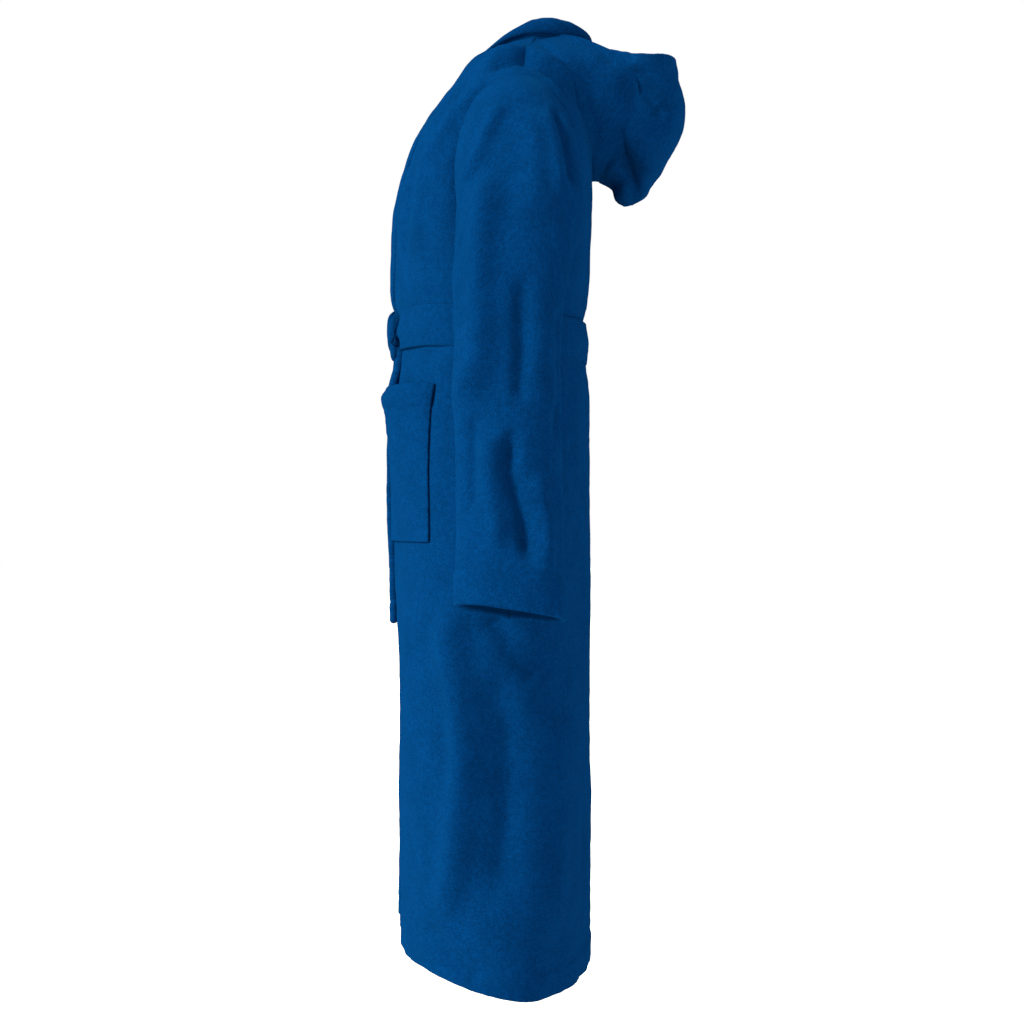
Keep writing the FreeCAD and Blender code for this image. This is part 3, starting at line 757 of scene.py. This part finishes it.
def fleece_material(name, base_color):
    """Short plush pile: fine tufts, clumps of them, and broad patches where the pile leans. The colour of
    the tufts and clumps follows their bumps: painted shade in the hollows between them and painted
    highlight on their tips.
    """
    material, shader = shader_with(name, base_color, 0.95, 0.05, (0.02, 0.35, 1.0))
    tree = material.node_tree
    color = tree.nodes.new("ShaderNodeRGB")
    color.outputs[0].default_value = (*base_color, 1.0)
    tufts = add_noise(tree, 520.0, 3.0, 0.65)
    clumps = add_noise(tree, 150.0, 2.0)
    patches = add_noise(tree, 22.0, 3.0)
    # Painted shade and highlight: the tuft and clump ramps darken the colour in the hollows between tufts
    # and clumps and lighten their tips, on the same noises that raise the bumps below; the patch ramp is
    # random tone
    tuft_painted_shade_and_highlight = add_ramp(tree, tufts, 0.32, 0.70, 0.62, 1.28)
    clump_painted_shade_and_highlight = add_ramp(tree, clumps, 0.3, 0.7, 0.86, 1.12)
    patch_shade = add_ramp(tree, patches, 0.3, 0.7, 0.90, 1.10)
    shade = multiply(tree, multiply(tree, tuft_painted_shade_and_highlight, clump_painted_shade_and_highlight), patch_shade)
    tree.links.new(multiply(tree, color.outputs[0], shade), shader.inputs["Base Color"])
    normal = add_bump(tree, clumps, 0.0022, 0.55)
    normal = add_bump(tree, tufts, 0.0012, 0.75, normal)
    tree.links.new(normal, shader.inputs["Normal"])
    return material


def tape_material():
    """Woven tape with a twill rib."""
    material, shader = shader_with("woven_tape", TAPE_COLOR, 0.8, 0.1, (0.3, 0.5, 1.0))
    tree = material.node_tree
    place = tree.nodes.new("ShaderNodeTexCoord")
    rib = tree.nodes.new("ShaderNodeTexWave")
    rib.bands_direction = "DIAGONAL"
    rib.inputs["Scale"].default_value = 520.0
    rib.inputs["Distortion"].default_value = 0.6
    tree.links.new(place.outputs["Object"], rib.inputs["Vector"])
    color = tree.nodes.new("ShaderNodeRGB")
    color.outputs[0].default_value = (*TAPE_COLOR, 1.0)
    shade = add_ramp(tree, rib.outputs["Fac"], 0.2, 0.8, 0.6, 1.2)
    tree.links.new(multiply(tree, color.outputs[0], shade), shader.inputs["Base Color"])
    tree.links.new(add_bump(tree, rib.outputs["Fac"], 0.0006, 0.7), shader.inputs["Normal"])
    return material


fleece = fleece_material("fleece_pile", FLEECE_COLOR)
belt_fleece = fleece_material("belt_pile", BELT_COLOR)
tape = tape_material()


# ---- Sizes, sides and hiding the nodes the cloth stands for ----

def net_size(grid, closed):
    """Width, length and area of the cut that a net shows, in metres."""
    if closed:
        grid = np.concatenate([grid, grid[:, :1]], axis=1)
    across = np.linalg.norm(np.diff(grid, axis=1), axis=2).sum(axis=1).max() * MM
    along = np.linalg.norm(np.diff(grid, axis=0), axis=2).sum(axis=0).max() * MM
    side = np.linalg.norm(np.diff(grid, axis=1), axis=2)[:-1]
    up = np.linalg.norm(np.diff(grid, axis=0), axis=2)[:, :side.shape[1]]
    return across, along, float((side * up).sum()) * MM * MM


def declare(grid, nodes, closed=False):
    """Hides the nodes that the cloth stands for; it also works out the flat size it was cut to, which
    nothing keeps.
    """
    width, length, area = net_size(grid, closed)
    area = min(area, width * length)
    if nodes:
        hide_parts(*nodes)


def side_sign(side):
    """+1 on the left, where X is positive, and -1 on the right."""
    return 1.0 if side == "left" else -1.0


def sided(grid, side):
    """A left-hand net as it lies on the named side."""
    return grid if side == "left" else flipped(grid)


def bend(piece):
    """Bakes the piece's transform into its mesh; the cloth is not bound to any body."""
    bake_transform(piece)


# ---- Body ----

def gathers(grid):
    """Upright ripples above and below the belt, and slow flutes that grow down the skirt."""
    upright = grid * np.array([1.0, 1.0, 0.10])
    away = np.abs(grid[..., 2] - BELT_MIDDLE_Z)
    near = smooth((away - 12.0) / 26.0) * np.exp(-np.maximum(away - 30.0, 0.0) / 85.0)
    ripples = 4.2 * near * noise(upright, 27.0, 61)
    down = smooth((BELT_BOTTOM_Z - grid[..., 2]) / 700.0)
    broad = 7.5 * noise(upright * np.array([1, 1, 0.5]), 95.0, 62)
    narrow = 3.0 * noise(upright, 46.0, 63)
    return ripples + down * (broad + narrow)


def calm_at_armhole(grid):
    """The waves die away at the armhole seam, so that body and sleeve meet."""
    rise = np.clip((grid[..., 2] - UNDERARM_Z) / (SHOULDER_TIP[2] - UNDERARM_Z), 0.0, 1.0)
    seam_x = UNDERARM_HALF_WIDTH + (SHOULDER_TIP[0] - UNDERARM_HALF_WIDTH) * rise
    away = np.abs(np.abs(grid[..., 0]) - seam_x)
    below = smooth((UNDERARM_Z - grid[..., 2]) / 40.0)
    return np.maximum(0.1 + 0.9 * smooth((away - 4.0) / 34.0), below)


def calm(grid):
    """How strongly the body's cloth waves: little under the belt and at the armholes."""
    at_belt = 0.25 + 0.75 * smooth((np.abs(grid[..., 2] - BELT_MIDDLE_Z) - 20.0) / 30.0)
    return at_belt * calm_at_armhole(grid)


def body_heights():
    """The heights of the rows that fronts, facings and back share."""
    return heights_between(HEM_Z, 0.0, BODY_STEP)


def lap_sunk(grid, across):
    """The under front lies deeper, and rises to the body's surface at its side seam."""
    normal = normals_of(grid, BODY_CORE)
    return grid - normal * (LAP_DROP * smooth(1.6 * (1.0 - across)))[..., None]


def front_net(heights, across, side, passes=EVENING_PASSES):
    """A smooth net on one front; the right front lies under the left one."""
    base = blurred(front_grid(heights, across), passes)
    if side == "right":
        base = lap_sunk(base, across)
    return sided(base, side)


def body_finish(base, extra=0.0, dips=None, seed=BODY_SEED):
    """The folds, gathers and waves that every piece of the body shares."""
    return finished(
        base, BODY_CORE, BODY_FOLDS, dips, seed=seed, waves=calm(base), extra=gathers(base) + extra)


def front_cloth(side):
    """The front panel with its skirt and its turned-up hem."""
    heights = body_heights()
    band = share_of_width(heights, BAND_WIDTH - 3.0)
    across = spread_between(band, np.ones(len(heights)), FRONT_COLUMNS)
    base = front_net(heights, across, side)
    hem = hem_relief(base, HEM_FOLD) * np.clip(across * 4.0, 0.0, 1.0)
    grid = body_finish(base, hem, {"first_column": 4.6})
    piece = cloth_object(side + "_front_cloth", grid, CLOTH, BODY_CORE, fleece)
    bend(piece)
    declare(base,
            [side + "_front_panel", side + "_skirt_panel", side + "_skirt_hem"])


def front_facing(side):
    """The folded band along the front's free edge, with its stitch line."""
    heights = body_heights()
    band = share_of_width(heights, BAND_WIDTH)
    base = front_net(heights, spread_between(np.zeros(len(heights)), band, FACING_COLUMNS), side)
    share = np.linspace(0.0, 1.0, FACING_COLUMNS)[None, :] * np.ones((len(heights), 1))
    plump = 3.0 * np.sin(math.pi * share) ** 0.6
    stitch = -1.4 * np.exp(-((share - 0.86) / 0.05) ** 2)
    free = 1.0 - near_shoulder_seam(base, SHOULDER_REACH)
    grid = body_finish(base, free * (plump + stitch), seed=FACING_SEED)
    piece = cloth_object(side + "_front_facing", grid, BAND_CLOTH + 1.0, BODY_CORE, fleece)
    bend(piece)
    declare(base, [side + "_front_band", side + "_skirt_band"])


def back_surface():
    """The back's net, and the same net with its folds and waves."""
    base = blurred(back_grid(body_heights(), np.linspace(-1.0, 1.0, BACK_COLUMNS)), EVENING_PASSES)
    return base, body_finish(base, hem_relief(base, HEM_FOLD))


def back_cloth():
    """The back panel with its turned-up hem."""
    base, grid = back_surface()
    piece = cloth_object("back_cloth", grid, CLOTH, BODY_CORE, fleece)
    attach(piece, "robe_body")
    declare(base, ["back_panel", "back_hem_band"])


# ---- Collar and hood ----

def neckline(turn):
    """Points round the neck from the right front end (-1) by the back (0) to the left end (+1)."""
    back_share = 0.6
    turn = np.asarray(turn, float)
    angle = np.clip(turn / back_share, -1.0, 1.0) * math.pi / 2.0
    back = np.stack([
        NECK_POINT[0] * np.sin(angle),
        NECK_POINT[1] + (NECK_BACK_Y - NECK_POINT[1]) * np.cos(angle),
        NECK_POINT[2] + (NECK_BACK_Z - NECK_POINT[2]) * np.cos(angle)], axis=-1)
    along = np.clip((np.abs(turn) - back_share) / (1.0 - back_share), 0.0, 1.0)[..., None]
    curved = along * np.array([1.0, 1.0, 0.0]) + along ** 2 * np.array([0.0, 0.0, 1.0])
    front = NECK_POINT + (COLLAR_FRONT_END - NECK_POINT) * curved
    front = front * np.stack([np.sign(turn) + (turn == 0), np.ones_like(turn), np.ones_like(turn)], axis=-1)
    return np.where((np.abs(turn) > back_share)[..., None], front, back)


def closed_curve(points, count):
    """A smooth closed curve through points."""
    repeated = np.concatenate([points[-3:], points, points[:3]])
    keys = np.arange(len(repeated), dtype=float) - 3.0
    return curve(keys, repeated, np.linspace(0.0, len(points), count, endpoint=False))


def collar_cloth():
    """The padded roll round the neck, which thins out down the front edges."""
    turn = np.linspace(-1.0, 1.0, COLLAR_STATIONS)
    base = neckline(turn)
    tangent = unit(np.gradient(base, axis=0) * np.array([1.0, 1.0, 0.0]))
    outward = np.stack([-tangent[:, 1], tangent[:, 0], np.zeros(len(turn))], axis=-1)
    outward *= np.sign((outward * (base - np.array([0.0, -70.0, 0.0]))).sum(axis=1))[:, None]
    height = curve(COLLAR[:, 0], COLLAR[:, 1], np.abs(turn))
    section = closed_curve(COLLAR_SECTION, COLLAR_POINTS)
    at_back = np.exp(-(turn / 0.32) ** 2)
    at_sides = np.exp(-((np.abs(turn) - 0.55) / 0.16) ** 2)
    upright = 1.0 - 0.45 * at_back - 0.25 * at_sides
    spread = (np.clip(height / 24.0, 0.14, 1.1) * upright)[:, None, None]
    foot = np.minimum(section[:, 1] / 0.3, 0.0)[None, :, None]
    foot_drop = (7.0 * np.exp(-((np.abs(turn) - 0.64) / 0.16) ** 2))[:, None, None]
    grid = (base[:, None, :] + outward[:, None, :] * section[None, :, :1] * spread
            + np.array([0.0, 0.0, 1.0]) * (section[None, :, 1:] * height[:, None, None] + foot * foot_drop))
    core = grid.mean(axis=1, keepdims=True)
    lump = 1.0 + 0.05 * noise(grid, 22.0, 31)[..., None] + 0.03 * noise(grid, 7.0, 32)[..., None]
    grid = core + (grid - core) * lump
    piece = roll_object("collar_cloth", grid, fleece)
    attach(piece, "robe_body")
    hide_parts("collar_roll")


def hood_grid(turns, shares):
    """Left half of the pouch: turns from the front seam to the rear one, shares from its tip to its rim."""
    turn = np.asarray(turns, float)[None, :]
    share = np.asarray(shares, float)[:, None]
    low = HOOD[0, 0]
    rim = curve(HOOD_RIM[:, 0], HOOD_RIM[:, 1], turn)
    height = low + (rim - low) * share
    section = curve(HOOD[:, 0], HOOD[:, 1:], height)
    angle = turn * math.pi
    x = section[..., 2] * np.abs(np.sin(angle)) ** 0.85
    back_share = (1.0 - signed_power(np.cos(angle), 0.85)) / 2.0
    y = section[..., 0] + (section[..., 1] - section[..., 0]) * back_share
    return np.stack([x, y, height], axis=-1)


def hood_surface(side):
    """Half of the pouch as a net, and the same net with its folds and waves."""
    shares = np.linspace(0.0, 0.985, HOOD_ROWS) ** 0.9
    base = sided(hood_grid(np.linspace(0.0, 1.0, HOOD_COLUMNS), shares), side)
    grid = finished(base, HOOD_CORE, HOOD_FOLDS, {"last_column": 1.5}, seed=HOOD_SEED)
    grid[:, 0, 0] = 0.0
    grid[:, -1, 0] = 0.0
    return base, grid


def hood_cloth(side):
    """One half of the hood's hanging pouch."""
    base, grid = hood_surface(side)
    piece = cloth_object(side + "_hood_cloth", grid, CLOTH, HOOD_CORE, fleece)
    bend(piece)
    declare(base, [side + "_hood_panel"])


# Where the cloth between collar and pouch meets the shoulder, and where it meets the pouch
DRAPE_OUTER = np.array([
    (97, -60, -9), (114, -50, -18), (132, -38, -34), (145, -22, -56), (146, -8, -80), (138, -1, -102),
    (126, 5, -122), (110, 9, -138), (88, 14, -150), (62, 18, -160), (32, 18, -166), (0, 18, -168)], float)
DRAPE_INNER = np.array([
    (90, -58, -4), (90, -38, 2), (92, -12, 1), (101, 14, -9), (112, 42, -24), (116, 66, -36),
    (112, 74, -84), (102, 72, -112), (82, 66, -138), (54, 50, -168), (28, 42, -174), (0, 40, -177)], float)
DRAPE_CLOTH = 2.2
DRAPE_FOLDS = [
    ([(-30, -40), (10, -82), (16, -150)], 8, -4.0),
    ([(0, -20), (40, -60), (52, -130)], 12, 4.0),
    BODY_FOLDS[2],
    BODY_FOLDS[3],
]
DRAPE_SINK = 1.4


def laid_on(points, surface, core):
    """Points moved to the nearest place on a net, and sunk a little into its cloth."""
    normal = normals_of(surface, core).reshape(-1, 3)
    flat = surface.reshape(-1, 3)
    nearest = [int(((flat - point) ** 2).sum(axis=1).argmin()) for point in points]
    return flat[nearest] - normal[nearest] * DRAPE_SINK


def hood_drape(side):
    """The hood's lower side, which leaves the neck seam and lies over the back of the shoulder."""
    share = np.linspace(0.0, len(DRAPE_OUTER) - 1.0, DRAPE_ROWS)
    keys = np.arange(len(DRAPE_OUTER))
    back = back_surface()[1]
    pouch = hood_surface(side)[1]
    outer = laid_on(sided(curve(keys, DRAPE_OUTER, share), side), back, BODY_CORE)
    inner = sided(curve(keys, DRAPE_INNER, share), side)
    on_pouch = smooth((share - 3.6) / 1.2)[:, None]
    inner = inner + (laid_on(inner, pouch, HOOD_CORE) - inner) * on_pouch
    outer = blurred(outer, 6)[:, None, :]
    inner = blurred(inner, 6)[:, None, :]
    across = np.linspace(0.0, 1.0, DRAPE_COLUMNS)[None, :, None]
    rising = smooth((share - 0.2) / 1.6)[:, None, None]
    bulge = np.array([0.2 * side_sign(side), 0.1, 0.35]) * 7.0 * np.sin(math.pi * across) * rising
    path = np.concatenate([smooth(across), across, across], axis=2)
    base = inner + (outer - inner) * path + bulge
    inside = (smooth(across / 0.2) * smooth((1.0 - across) / 0.2) * rising)[..., 0]
    creases = folded(base, DRAPE_FOLDS) * inside
    grid = finished(base, DRAPE_CORE, seed=24, waves=0.8 * inside, extra=creases)
    piece = cloth_object(side + "_hood_drape", grid, DRAPE_CLOTH, DRAPE_CORE, fleece)
    bend(piece)
    declare(base, [])


def hood_band():
    """The folded band round the hood's opening."""
    turns = np.linspace(0.1, 1.0, HOOD_BAND_COLUMNS)
    shares = np.linspace(0.83, 1.0, HOOD_BAND_ROWS)
    left = hood_grid(turns, shares)
    base = np.concatenate([left, flipped(left)[:, -2::-1]], axis=1)
    share = np.linspace(0.0, 1.0, HOOD_BAND_ROWS)[:, None]
    plump = 2.8 * smooth(share / 0.6) - 0.7
    grid = finished(base, HOOD_CORE, HOOD_FOLDS, seed=HOOD_SEED, extra=plump)
    piece = cloth_object("hood_edge_cloth", grid, BAND_CLOTH + 2.0, HOOD_CORE, fleece)
    bend(piece)
    declare(base, ["hood_edge_band"])


# ---- Sleeves ----

def sleeve_grid(stations, count):
    """Rings of the left sleeve; the first column is its inner line, under the arm."""
    rings = curve(np.arange(len(SLEEVE)), SLEEVE, np.asarray(stations, float))[:, None, :]
    turn = np.linspace(0.0, 2.0 * math.pi, count, endpoint=False)[None, :]
    along = -np.cos(turn)
    deep = np.sin(turn)
    x = (rings[..., 0] + rings[..., 2]) / 2.0 + (rings[..., 0] - rings[..., 2]) / 2.0 * along
    z = (rings[..., 1] + rings[..., 3]) / 2.0 + (rings[..., 1] - rings[..., 3]) / 2.0 * along
    y = rings[..., 4] + rings[..., 5] * deep
    tilt = CUFF_DROP * smooth((np.asarray(stations, float)[:, None] - 7.5) / 3.5)
    return np.stack([x, y, z - tilt * deep], axis=-1)


def stations_between(low, high, step):
    """Stations a step apart along the sleeve's outer line."""
    fine = np.linspace(low, high, 300)
    length = distances(sleeve_grid(fine, 4), 0)[:, 2]
    return np.interp(np.linspace(0.0, length[-1], max(4, int(length[-1] / step) + 1)), length, fine)


def sleeve_core(base):
    """The middle of a tube of cloth."""
    return base[base.shape[0] // 2].mean(axis=0)


def sleeve_waves(base):
    """The sleeve's own slow unevenness, stretched along it."""
    stretched = base * np.array([1.0, 1.0, 0.35])
    return 1.8 * noise(stretched, 40.0, 71) + 1.0 * noise(base, 24.0, 72)


def sleeve_piece(name, base, extra=0.0, quiet=1.0, dips=None, thickness=CLOTH):
    """A tube of cloth on the sleeve, with the folds and waves that its pieces share."""
    core = sleeve_core(base)
    grid = finished(
        base, core, SLEEVE_FOLDS, dips, closed=True, seed=SLEEVE_SEED, waves=0.5 * quiet,
        extra=sleeve_waves(base) * quiet + extra)
    return cloth_object(name, grid, thickness, core, fleece, True)


def upper_sleeve(side):
    """The sleeve from the armhole to above the elbow."""
    base = sided(sleeve_grid(stations_between(0.0, SLEEVE_SPLIT, SLEEVE_STEP), SLEEVE_COLUMNS), side)
    piece = sleeve_piece(side + "_upper_sleeve_cloth", base, quiet=calm_at_armhole(base))
    bend(piece)
    declare(base, [side + "_upper_sleeve"],
            closed=True)


def lower_sleeve(side):
    """The sleeve from above the elbow to the cuff."""
    stations = stations_between(SLEEVE_SPLIT, CUFF_STATION + 0.03, SLEEVE_STEP)
    base = sided(sleeve_grid(stations, SLEEVE_COLUMNS), side)
    piece = sleeve_piece(side + "_lower_sleeve_cloth", base)
    bend(piece)
    declare(base, [side + "_lower_sleeve"], closed=True)


def cuff(side):
    """The turned-up hem at the sleeve's end."""
    stations = stations_between(CUFF_STATION - 0.03, LAST_STATION, CUFF_STEP)
    base = sided(sleeve_grid(stations, SLEEVE_COLUMNS), side)
    share = np.linspace(0.0, 1.0, base.shape[0])[:, None]
    plump = 0.6 + 1.8 * np.maximum(0.0, np.sin(math.pi * share)) ** 0.5
    piece = sleeve_piece(
        side + "_cuff_hem", base, plump, dips={"first_row": 2.0}, thickness=BAND_CLOTH + 2.0)
    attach(piece, side + "_forearm_sleeve")
    declare(base, [side + "_cuff"], closed=True)


# ---- Pockets ----

def pocket_grid(low, high, rows, columns, side):
    """A patch pocket between two heights: it lies on the front's cloth and stands open at its mouth."""
    heights = np.linspace(low, high, rows)
    up = (heights - POCKET_BOTTOM_Z) / (POCKET_TOP_Z - POCKET_BOTTOM_Z)
    outer_x = POCKET_OUTER_X + POCKET_SPREAD * (1.0 - up)
    across = np.stack([
        across_at(POCKET_INNER_X + (outer_x - POCKET_INNER_X) * share, heights)
        for share in np.linspace(0.0, 1.0, columns)], axis=1)
    base = front_net(heights, across, side, passes=0)
    under = body_finish(base)
    normal = normals_of(base, BODY_CORE)
    middle = np.abs(np.sin(math.pi * np.linspace(0.0, 1.0, columns)))[None, :] ** 0.7
    open_share = up ** 1.6 * (1.0 - 0.3 * smooth((up - 0.92) / 0.08))
    lift = POCKET_CLOTH + 0.4 + POCKET_GAPE * open_share[:, None] * middle
    return under + normal * lift[..., None]


def pocket(side):
    """A patch pocket, and the hem along its mouth."""
    base = pocket_grid(POCKET_BOTTOM_Z, POCKET_TOP_Z - POCKET_HEM + 3.0, POCKET_ROWS, POCKET_COLUMNS, side)
    grid = finished(base, BODY_CORE, seed=POCKET_SEED, waves=0.25)
    piece = cloth_object(side + "_pocket_cloth", grid, POCKET_CLOTH, BODY_CORE, fleece)
    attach(piece, "robe_body")
    declare(base, [side + "_pocket"])
    base = pocket_grid(POCKET_TOP_Z - POCKET_HEM, POCKET_TOP_Z, POCKET_HEM_ROWS, POCKET_COLUMNS, side)
    share = np.linspace(0.0, 1.0, POCKET_HEM_ROWS)[:, None]
    plump = 0.6 + 1.6 * np.sin(math.pi * share) ** 0.6
    grid = finished(base, BODY_CORE, (), {"first_row": 1.6}, seed=POCKET_SEED, waves=0.25, extra=plump)
    piece = cloth_object(side + "_pocket_hem_cloth", grid, BAND_CLOTH, BODY_CORE, fleece)
    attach(piece, "robe_body")
    declare(base, [side + "_pocket_hem"])


# ---- Belt ----

def belt_line(turn):
    """The waist ring that the belt lies on; turn 0 is the middle of the front."""
    section = curve(BODY[:, 0], BODY[:, 1:], BELT_MIDDLE_Z)
    toward_front = signed_power(np.cos(turn), 2.0 / ROUNDNESS)
    sideways = signed_power(np.sin(turn), 2.0 / ROUNDNESS)
    reach = np.where(toward_front > 0, section[2] - section[1], section[3] - section[2])
    return section[0] * sideways, section[2] - reach * toward_front, toward_front


def belt_waistband():
    """The belt round the waist, gathered towards the knot and sagging at the back."""
    turn = np.linspace(0.0, 2.0 * math.pi, BELT_COLUMNS, endpoint=False)[None, :]
    x, y, toward_front = belt_line(turn)
    share = np.linspace(0.0, 1.0, BELT_ROWS)[:, None]
    half = (BELT_TOP_Z - BELT_BOTTOM_Z) / 2.0
    near_knot = np.exp(-(x / 62.0) ** 2) * (toward_front > 0)
    sag = BELT_SAG * (1.0 - smooth((toward_front + 0.4) / 1.35))
    z = BELT_MIDDLE_Z - sag + (share * 2.0 - 1.0) * half * (1.0 - 0.36 * near_knot)
    base = np.stack(np.broadcast_arrays(x, y, z), axis=-1)
    fold = np.cos((share - 0.5) * 9.0 + 0.8 * noise(base, 90.0, 81)) * (0.4 + 2.6 * near_knot)
    rounded = 1.8 * (1.0 - np.abs(share * 2.0 - 1.0) ** 3) + fold + 1.2 * noise(base, 30.0, 82)
    normal = normals_of(base, BODY_CORE, True)
    base = base + normal * BELT_LIFT
    grid = base + normal * (rounded + pile_lumps(base, 83))[..., None]
    piece = cloth_object("belt_waistband_cloth", grid, BAND_CLOTH, BODY_CORE, belt_fleece, True)
    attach(piece, "robe_body")
    declare(base, ["belt_waistband"], True)


def lobe(centre, radii, lean):
    """One pillow-like turn of the knot: an oval leaned in the front's plane."""
    v = np.linspace(0.06, math.pi - 0.06, KNOT_POINTS)[:, None]
    u = np.linspace(0.0, 2.0 * math.pi, KNOT_POINTS, endpoint=False)[None, :]
    x = signed_power(np.cos(v), 0.75) * radii[0] * np.ones_like(u)
    z = signed_power(np.sin(v), 0.75) * signed_power(np.cos(u), 0.8) * radii[2]
    y = signed_power(np.sin(v), 0.75) * signed_power(np.sin(u), 0.8) * radii[1]
    turned_x = x * math.cos(lean) - z * math.sin(lean)
    turned_z = x * math.sin(lean) + z * math.cos(lean)
    points = np.stack([turned_x, y, turned_z], axis=-1)
    crease = 1.0 - 0.08 * np.abs(np.sin(2.0 * u + 0.7)) ** 6 + 0.035 * noise(points, 9.0, 91)
    return np.asarray(centre, float) + points * crease[..., None]


def belt_knot():
    """The wrap over the middle, with the two loops that it holds on either side."""
    parts = [
        lobe((-18, -239, -366), (27, 11, 16), 0.40),
        lobe((22, -239, -370), (29, 11, 17), -0.35),
        lobe((3, -240, -371), (29, 12, 14), 1.25),
        lobe((-15, -238, -393), (18, 9, 13), 0.9),
        lobe((21, -238, -393), (19, 9, 13), -1.0),
    ]
    made = [roll_object("knot_part", part, belt_fleece) for part in parts]
    with bpy.context.temp_override(
            active_object=made[0], selected_objects=made, selected_editable_objects=made):
        bpy.ops.object.join()
    piece = made[0]
    piece.name = "belt_knot_cloth"
    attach(piece, "robe_body")
    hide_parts("belt_knot")


def belt_tail(side):
    """One hanging end of the belt, which comes out from under the knot."""
    middle_x = TAIL_MIDDLE_X[side]
    share = np.linspace(0.0, 1.0, TAIL_ROWS)[:, None]
    across = np.linspace(-1.0, 1.0, TAIL_COLUMNS)[None, :]
    gather = 1.0 - 0.45 * np.exp(-share * 9.0)
    drift = side_sign(side) * (8.0 * share ** 1.5 - 5.0 * np.exp(-share * 12.0))
    x = middle_x + drift + across * TAIL_HALF_WIDTH * gather
    wave = 1.8 * np.sin(2.2 * math.pi * share) * share
    cup = 2.6 * np.exp(-share * 6.0) * np.cos(across * 3.6) + 0.9 * across * np.sin(share * 5.0)
    tuck = 10.0 * (1.0 - smooth((share - 0.03) / 0.16))
    settle = 3.0 * smooth((share - 0.45) / 0.4)
    y = TAIL_Y + wave - cup + tuck + settle
    z = TAIL_TOP_Z - TAIL_LENGTH[side] * share
    base = np.stack(np.broadcast_arrays(x, y, z), axis=-1)
    core = (middle_x, -200.0, -560.0)
    normal = normals_of(base, core)
    end_hem = 0.9 * smooth((share - 0.94) / 0.02) - 1.1 * np.exp(-((share - 0.935) / 0.008) ** 2)
    edge_plump = 1.0 - np.abs(across) ** 4
    height = pile_lumps(base, 85) + 0.6 * noise(base, 28.0, 86) + end_hem + edge_plump
    grid = base + normal * height[..., None]
    piece = cloth_object(side + "_belt_tail_cloth", grid, BELT_TAIL_CLOTH, core, belt_fleece)
    bend(piece)
    declare(base, [side + "_belt_tail"])


def belt_loop(side):
    """A narrow sewn strip that holds the belt at the side seam."""
    section = curve(BODY[:, 0], BODY[:, 1:], BELT_MIDDLE_Z)
    path = np.array([
        (1, -334), (8, -336), (14, -345), (15.5, -374), (14.5, -402), (8, -413), (1, -415)], float)
    along = curve(np.arange(len(path)), path, np.linspace(0.0, len(path) - 1.0, LOOP_ROWS))
    x = section[0] + along[:, :1]
    y = section[2] + np.linspace(-LOOP_HALF_WIDTH, LOOP_HALF_WIDTH, LOOP_COLUMNS)[None, :]
    z = along[:, 1:] - 6.0
    base = sided(np.stack(np.broadcast_arrays(x, y, z), axis=-1), side)
    core = (0.0, section[2], BELT_MIDDLE_Z)
    piece = cloth_object(side + "_belt_loop_cloth", base, LOOP_CLOTH, core, belt_fleece)
    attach(piece, "robe_body")
    declare(base, [side + "_belt_loop"])


# ---- Building the robe ----

def build_robe():
    """Makes every piece, and gives the two tapes that stay CAD solids their material."""
    back_cloth()
    collar_cloth()
    hood_band()
    belt_waistband()
    belt_knot()
    for side in ("left", "right"):
        front_cloth(side)
        front_facing(side)
        hood_cloth(side)
        hood_drape(side)
        upper_sleeve(side)
        lower_sleeve(side)
        cuff(side)
        pocket(side)
        belt_tail(side)
        belt_loop(side)
    for node in ("hanging_loop", "neck_tape"):
        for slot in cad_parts[node].material_slots:
            slot.material = tape


build_robe()


# ---- Floor, light and camera ----

def plain_material(name, shade):
    """A matt grey."""
    return shader_with(name, (shade, shade, shade), 0.9, 0.0, (1.0, 1.0, 1.0))[0]


def add_floor():
    """A wide pale floor under the robe's hem."""
    mesh = bpy.data.meshes.new("studio_floor")
    reach = 30.0
    corners = [(-reach, -reach), (reach, -reach), (reach, reach), (-reach, reach)]
    mesh.from_pydata([(x, y, FLOOR_Z) for x, y in corners], [], [(0, 1, 2, 3)])
    mesh.materials.append(plain_material("pale_floor", FLOOR_SHADE))
    floor = bpy.data.objects.new("studio_floor", mesh)
    bpy.context.scene.collection.objects.link(floor)


def add_key():
    """One broad soft light from the front and a little above, on the camera's side."""
    data = bpy.data.lights.new("key", "SUN")
    data.energy = KEY_STRENGTH
    data.color = KEY_COLOR
    data.angle = math.radians(KEY_SPREAD)
    light = bpy.data.objects.new("key", data)
    light.rotation_euler = Vector(KEY_FROM).to_track_quat("Z", "Y").to_euler()
    bpy.context.scene.collection.objects.link(light)


def add_world():
    """Even white light from all round."""
    world = bpy.data.worlds.new("studio")
    world.use_nodes = True
    background = world.node_tree.nodes["Background"]
    background.inputs["Color"].default_value = (1.0, 1.0, 1.0, 1.0)
    background.inputs["Strength"].default_value = WORLD_STRENGTH
    bpy.context.scene.world = world


def add_camera():
    """A camera level with the robe's middle, on the wearer's left."""
    data = bpy.data.cameras.new("camera")
    data.lens = CAMERA_LENS
    data.sensor_width = 36.0
    camera = bpy.data.objects.new("camera", data)
    camera.location = CAMERA_PLACE
    camera.rotation_euler = (math.radians(90.0), 0.0, math.radians(90.0))
    bpy.context.scene.collection.objects.link(camera)
    bpy.context.scene.camera = camera


add_floor()
add_world()
add_key()
add_camera()
bpy.context.scene.view_settings.view_transform = "Standard"
